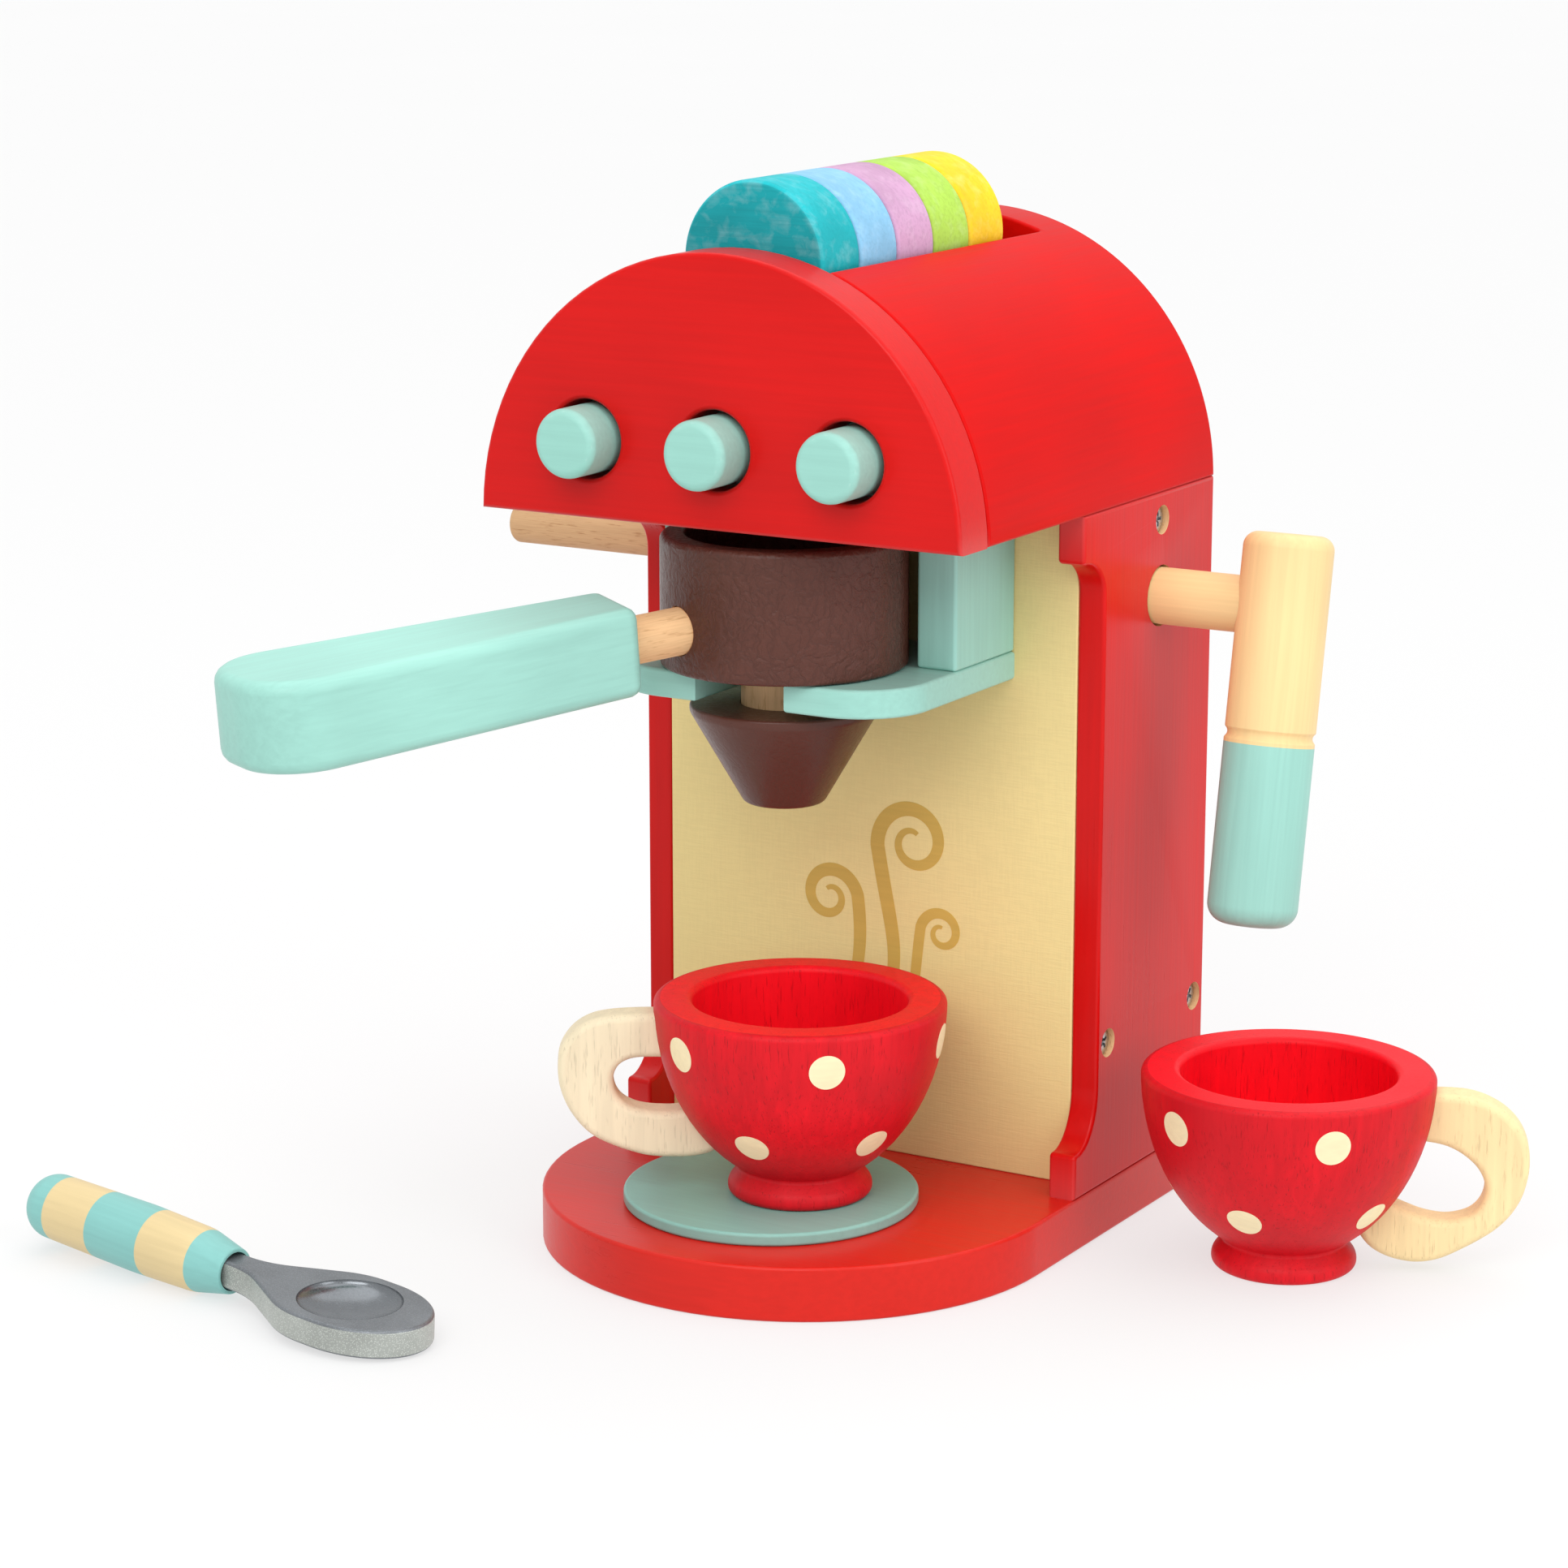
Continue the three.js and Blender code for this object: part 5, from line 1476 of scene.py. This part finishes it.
class TOY_OT_studio(bpy.types.Operator):
    """Set up the pale floor, the soft lights and the camera"""

    bl_idname = "toy.studio"
    bl_label = "Studio"

    CAMERA = (0.57463, -0.98869, 0.39422)
    FILM_WIDTH = 36  # millimetres
    FARTHEST = 100  # metres that the camera sees
    FLOOR_HALF = 12  # metres from the floor's middle to its edge
    FLOOR_SQUARES = 24
    FLOOR_HEIGHT = mm(-0.05)
    MIDDLE = Vector((0.0, 0.0, 0.12))  # what the lights are aimed at
    # Place, width and height of each soft light, by its name and the setting of its power
    LIGHTS = {
        ("key_light", "key_level"): ((0.3, -1.3, 1.15), 1.1, 0.9),
        ("right_light", "fill_level"): ((1.5, -0.35, 0.75), 0.8, 1.2),
    }
    OVERHEAD = (0.1, 0.35, 1.6)

    def execute(self, context):
        studio = context.scene.toy_studio
        self.camera(context, studio)
        self.floor(context, studio)
        for (name, power), (place, width, height) in self.LIGHTS.items():
            light = bpy.data.lights.new(name, "AREA")
            light.shape = "RECTANGLE"
            light.size = width
            light.size_y = height
            self.shine(context, light, place, getattr(studio, power))
        overhead = bpy.data.lights.new("top_light", "SUN")
        overhead.angle = studio.top_spread
        self.shine(context, overhead, self.OVERHEAD, studio.top_level)
        world = bpy.data.worlds.new("studio_sky")
        world.use_nodes = True
        sky = world.node_tree.nodes["Background"]
        sky.inputs["Color"].default_value = (1, 1, 1, 1)
        sky.inputs["Strength"].default_value = studio.sky_level
        context.scene.world = world
        context.scene.view_settings.view_transform = "Standard"
        return {"FINISHED"}

    def shine(self, context, light, place, power):
        light.energy = power
        made = bpy.data.objects.new(light.name, light)
        made.location = place
        made.rotation_euler = (self.MIDDLE - Vector(place)).to_track_quat("-Z", "Y").to_euler()
        context.scene.collection.objects.link(made)

    def camera(self, context, studio):
        data = bpy.data.cameras.new("camera")
        data.lens = studio.lens
        data.sensor_width = self.FILM_WIDTH
        data.clip_end = self.FARTHEST
        made = bpy.data.objects.new("camera", data)
        made.location = self.CAMERA
        made.rotation_euler = (math.pi / 2 - studio.dip, 0, studio.heading)
        context.scene.collection.objects.link(made)
        context.scene.camera = made

    def floor(self, context, studio):
        recipe = Recipe("studio_floor")
        cloud = recipe.noise(2)
        colour = studio.floor[:]
        tone = recipe.mix(cloud, shade(colour, 0.985), colour)
        normal = recipe.bump(cloud, mm(0.01))
        matt = recipe.levels(cloud, 0.3, 0.7, 0.85, 0.95)
        finish = recipe.finish(tone, matt, normal, specular=0.1)
        recipe.shader.inputs["Emission Color"].default_value = (1, 1, 1, 1)
        recipe.shader.inputs["Emission Strength"].default_value = studio.floor_glow
        bm = bmesh.new()
        bmesh.ops.create_grid(
            bm, x_segments=self.FLOOR_SQUARES, y_segments=self.FLOOR_SQUARES, size=self.FLOOR_HALF)
        mesh = to_mesh(bm)
        mesh.materials.append(finish)
        if mesh.polygons[0].normal.z < 0:
            mesh.flip_normals()
        made = bpy.data.objects.new("studio_floor", mesh)
        made.location = (0, 0, self.FLOOR_HEIGHT)
        context.scene.collection.objects.link(made)


OPERATORS = (
    TOY_OT_studio,
    TOY_OT_body,
    TOY_OT_print,
    TOY_OT_screws,
    TOY_OT_hood,
    TOY_OT_buttons,
    TOY_OT_discs,
    TOY_OT_fork,
    TOY_OT_filter,
    TOY_OT_lever,
    TOY_OT_cups,
    TOY_OT_spoon,
)


class TOY_PT_panel(bpy.types.Panel):
    """Lists the settings and the steps"""

    bl_idname = "TOY_PT_panel"
    bl_label = "Toy coffee maker"
    bl_space_type = "VIEW_3D"
    bl_region_type = "UI"
    bl_category = "Toy"

    def draw(self, context):
        for step in OPERATORS:
            self.layout.operator(step.bl_idname)
        for name, group in GROUPS.items():
            box = self.layout.box()
            box.label(text=group.__doc__)
            for key in group.__annotations__:
                box.prop(getattr(context.scene, name), key)


def register():
    for group in GROUPS.values():
        bpy.utils.register_class(group)
    for name, group in GROUPS.items():
        setattr(bpy.types.Scene, name, PointerProperty(type=group))
    for shown in (*OPERATORS, TOY_PT_panel):
        bpy.utils.register_class(shown)


def unregister():
    for shown in (TOY_PT_panel, *reversed(OPERATORS)):
        bpy.utils.unregister_class(shown)
    for name in reversed(GROUPS):
        delattr(bpy.types.Scene, name)
    for group in reversed(GROUPS.values()):
        bpy.utils.unregister_class(group)


def main():
    register()
    for step in OPERATORS:
        module, name = step.bl_idname.split(".")
        getattr(getattr(bpy.ops, module), name)()


if __name__ == "__main__":
    main()
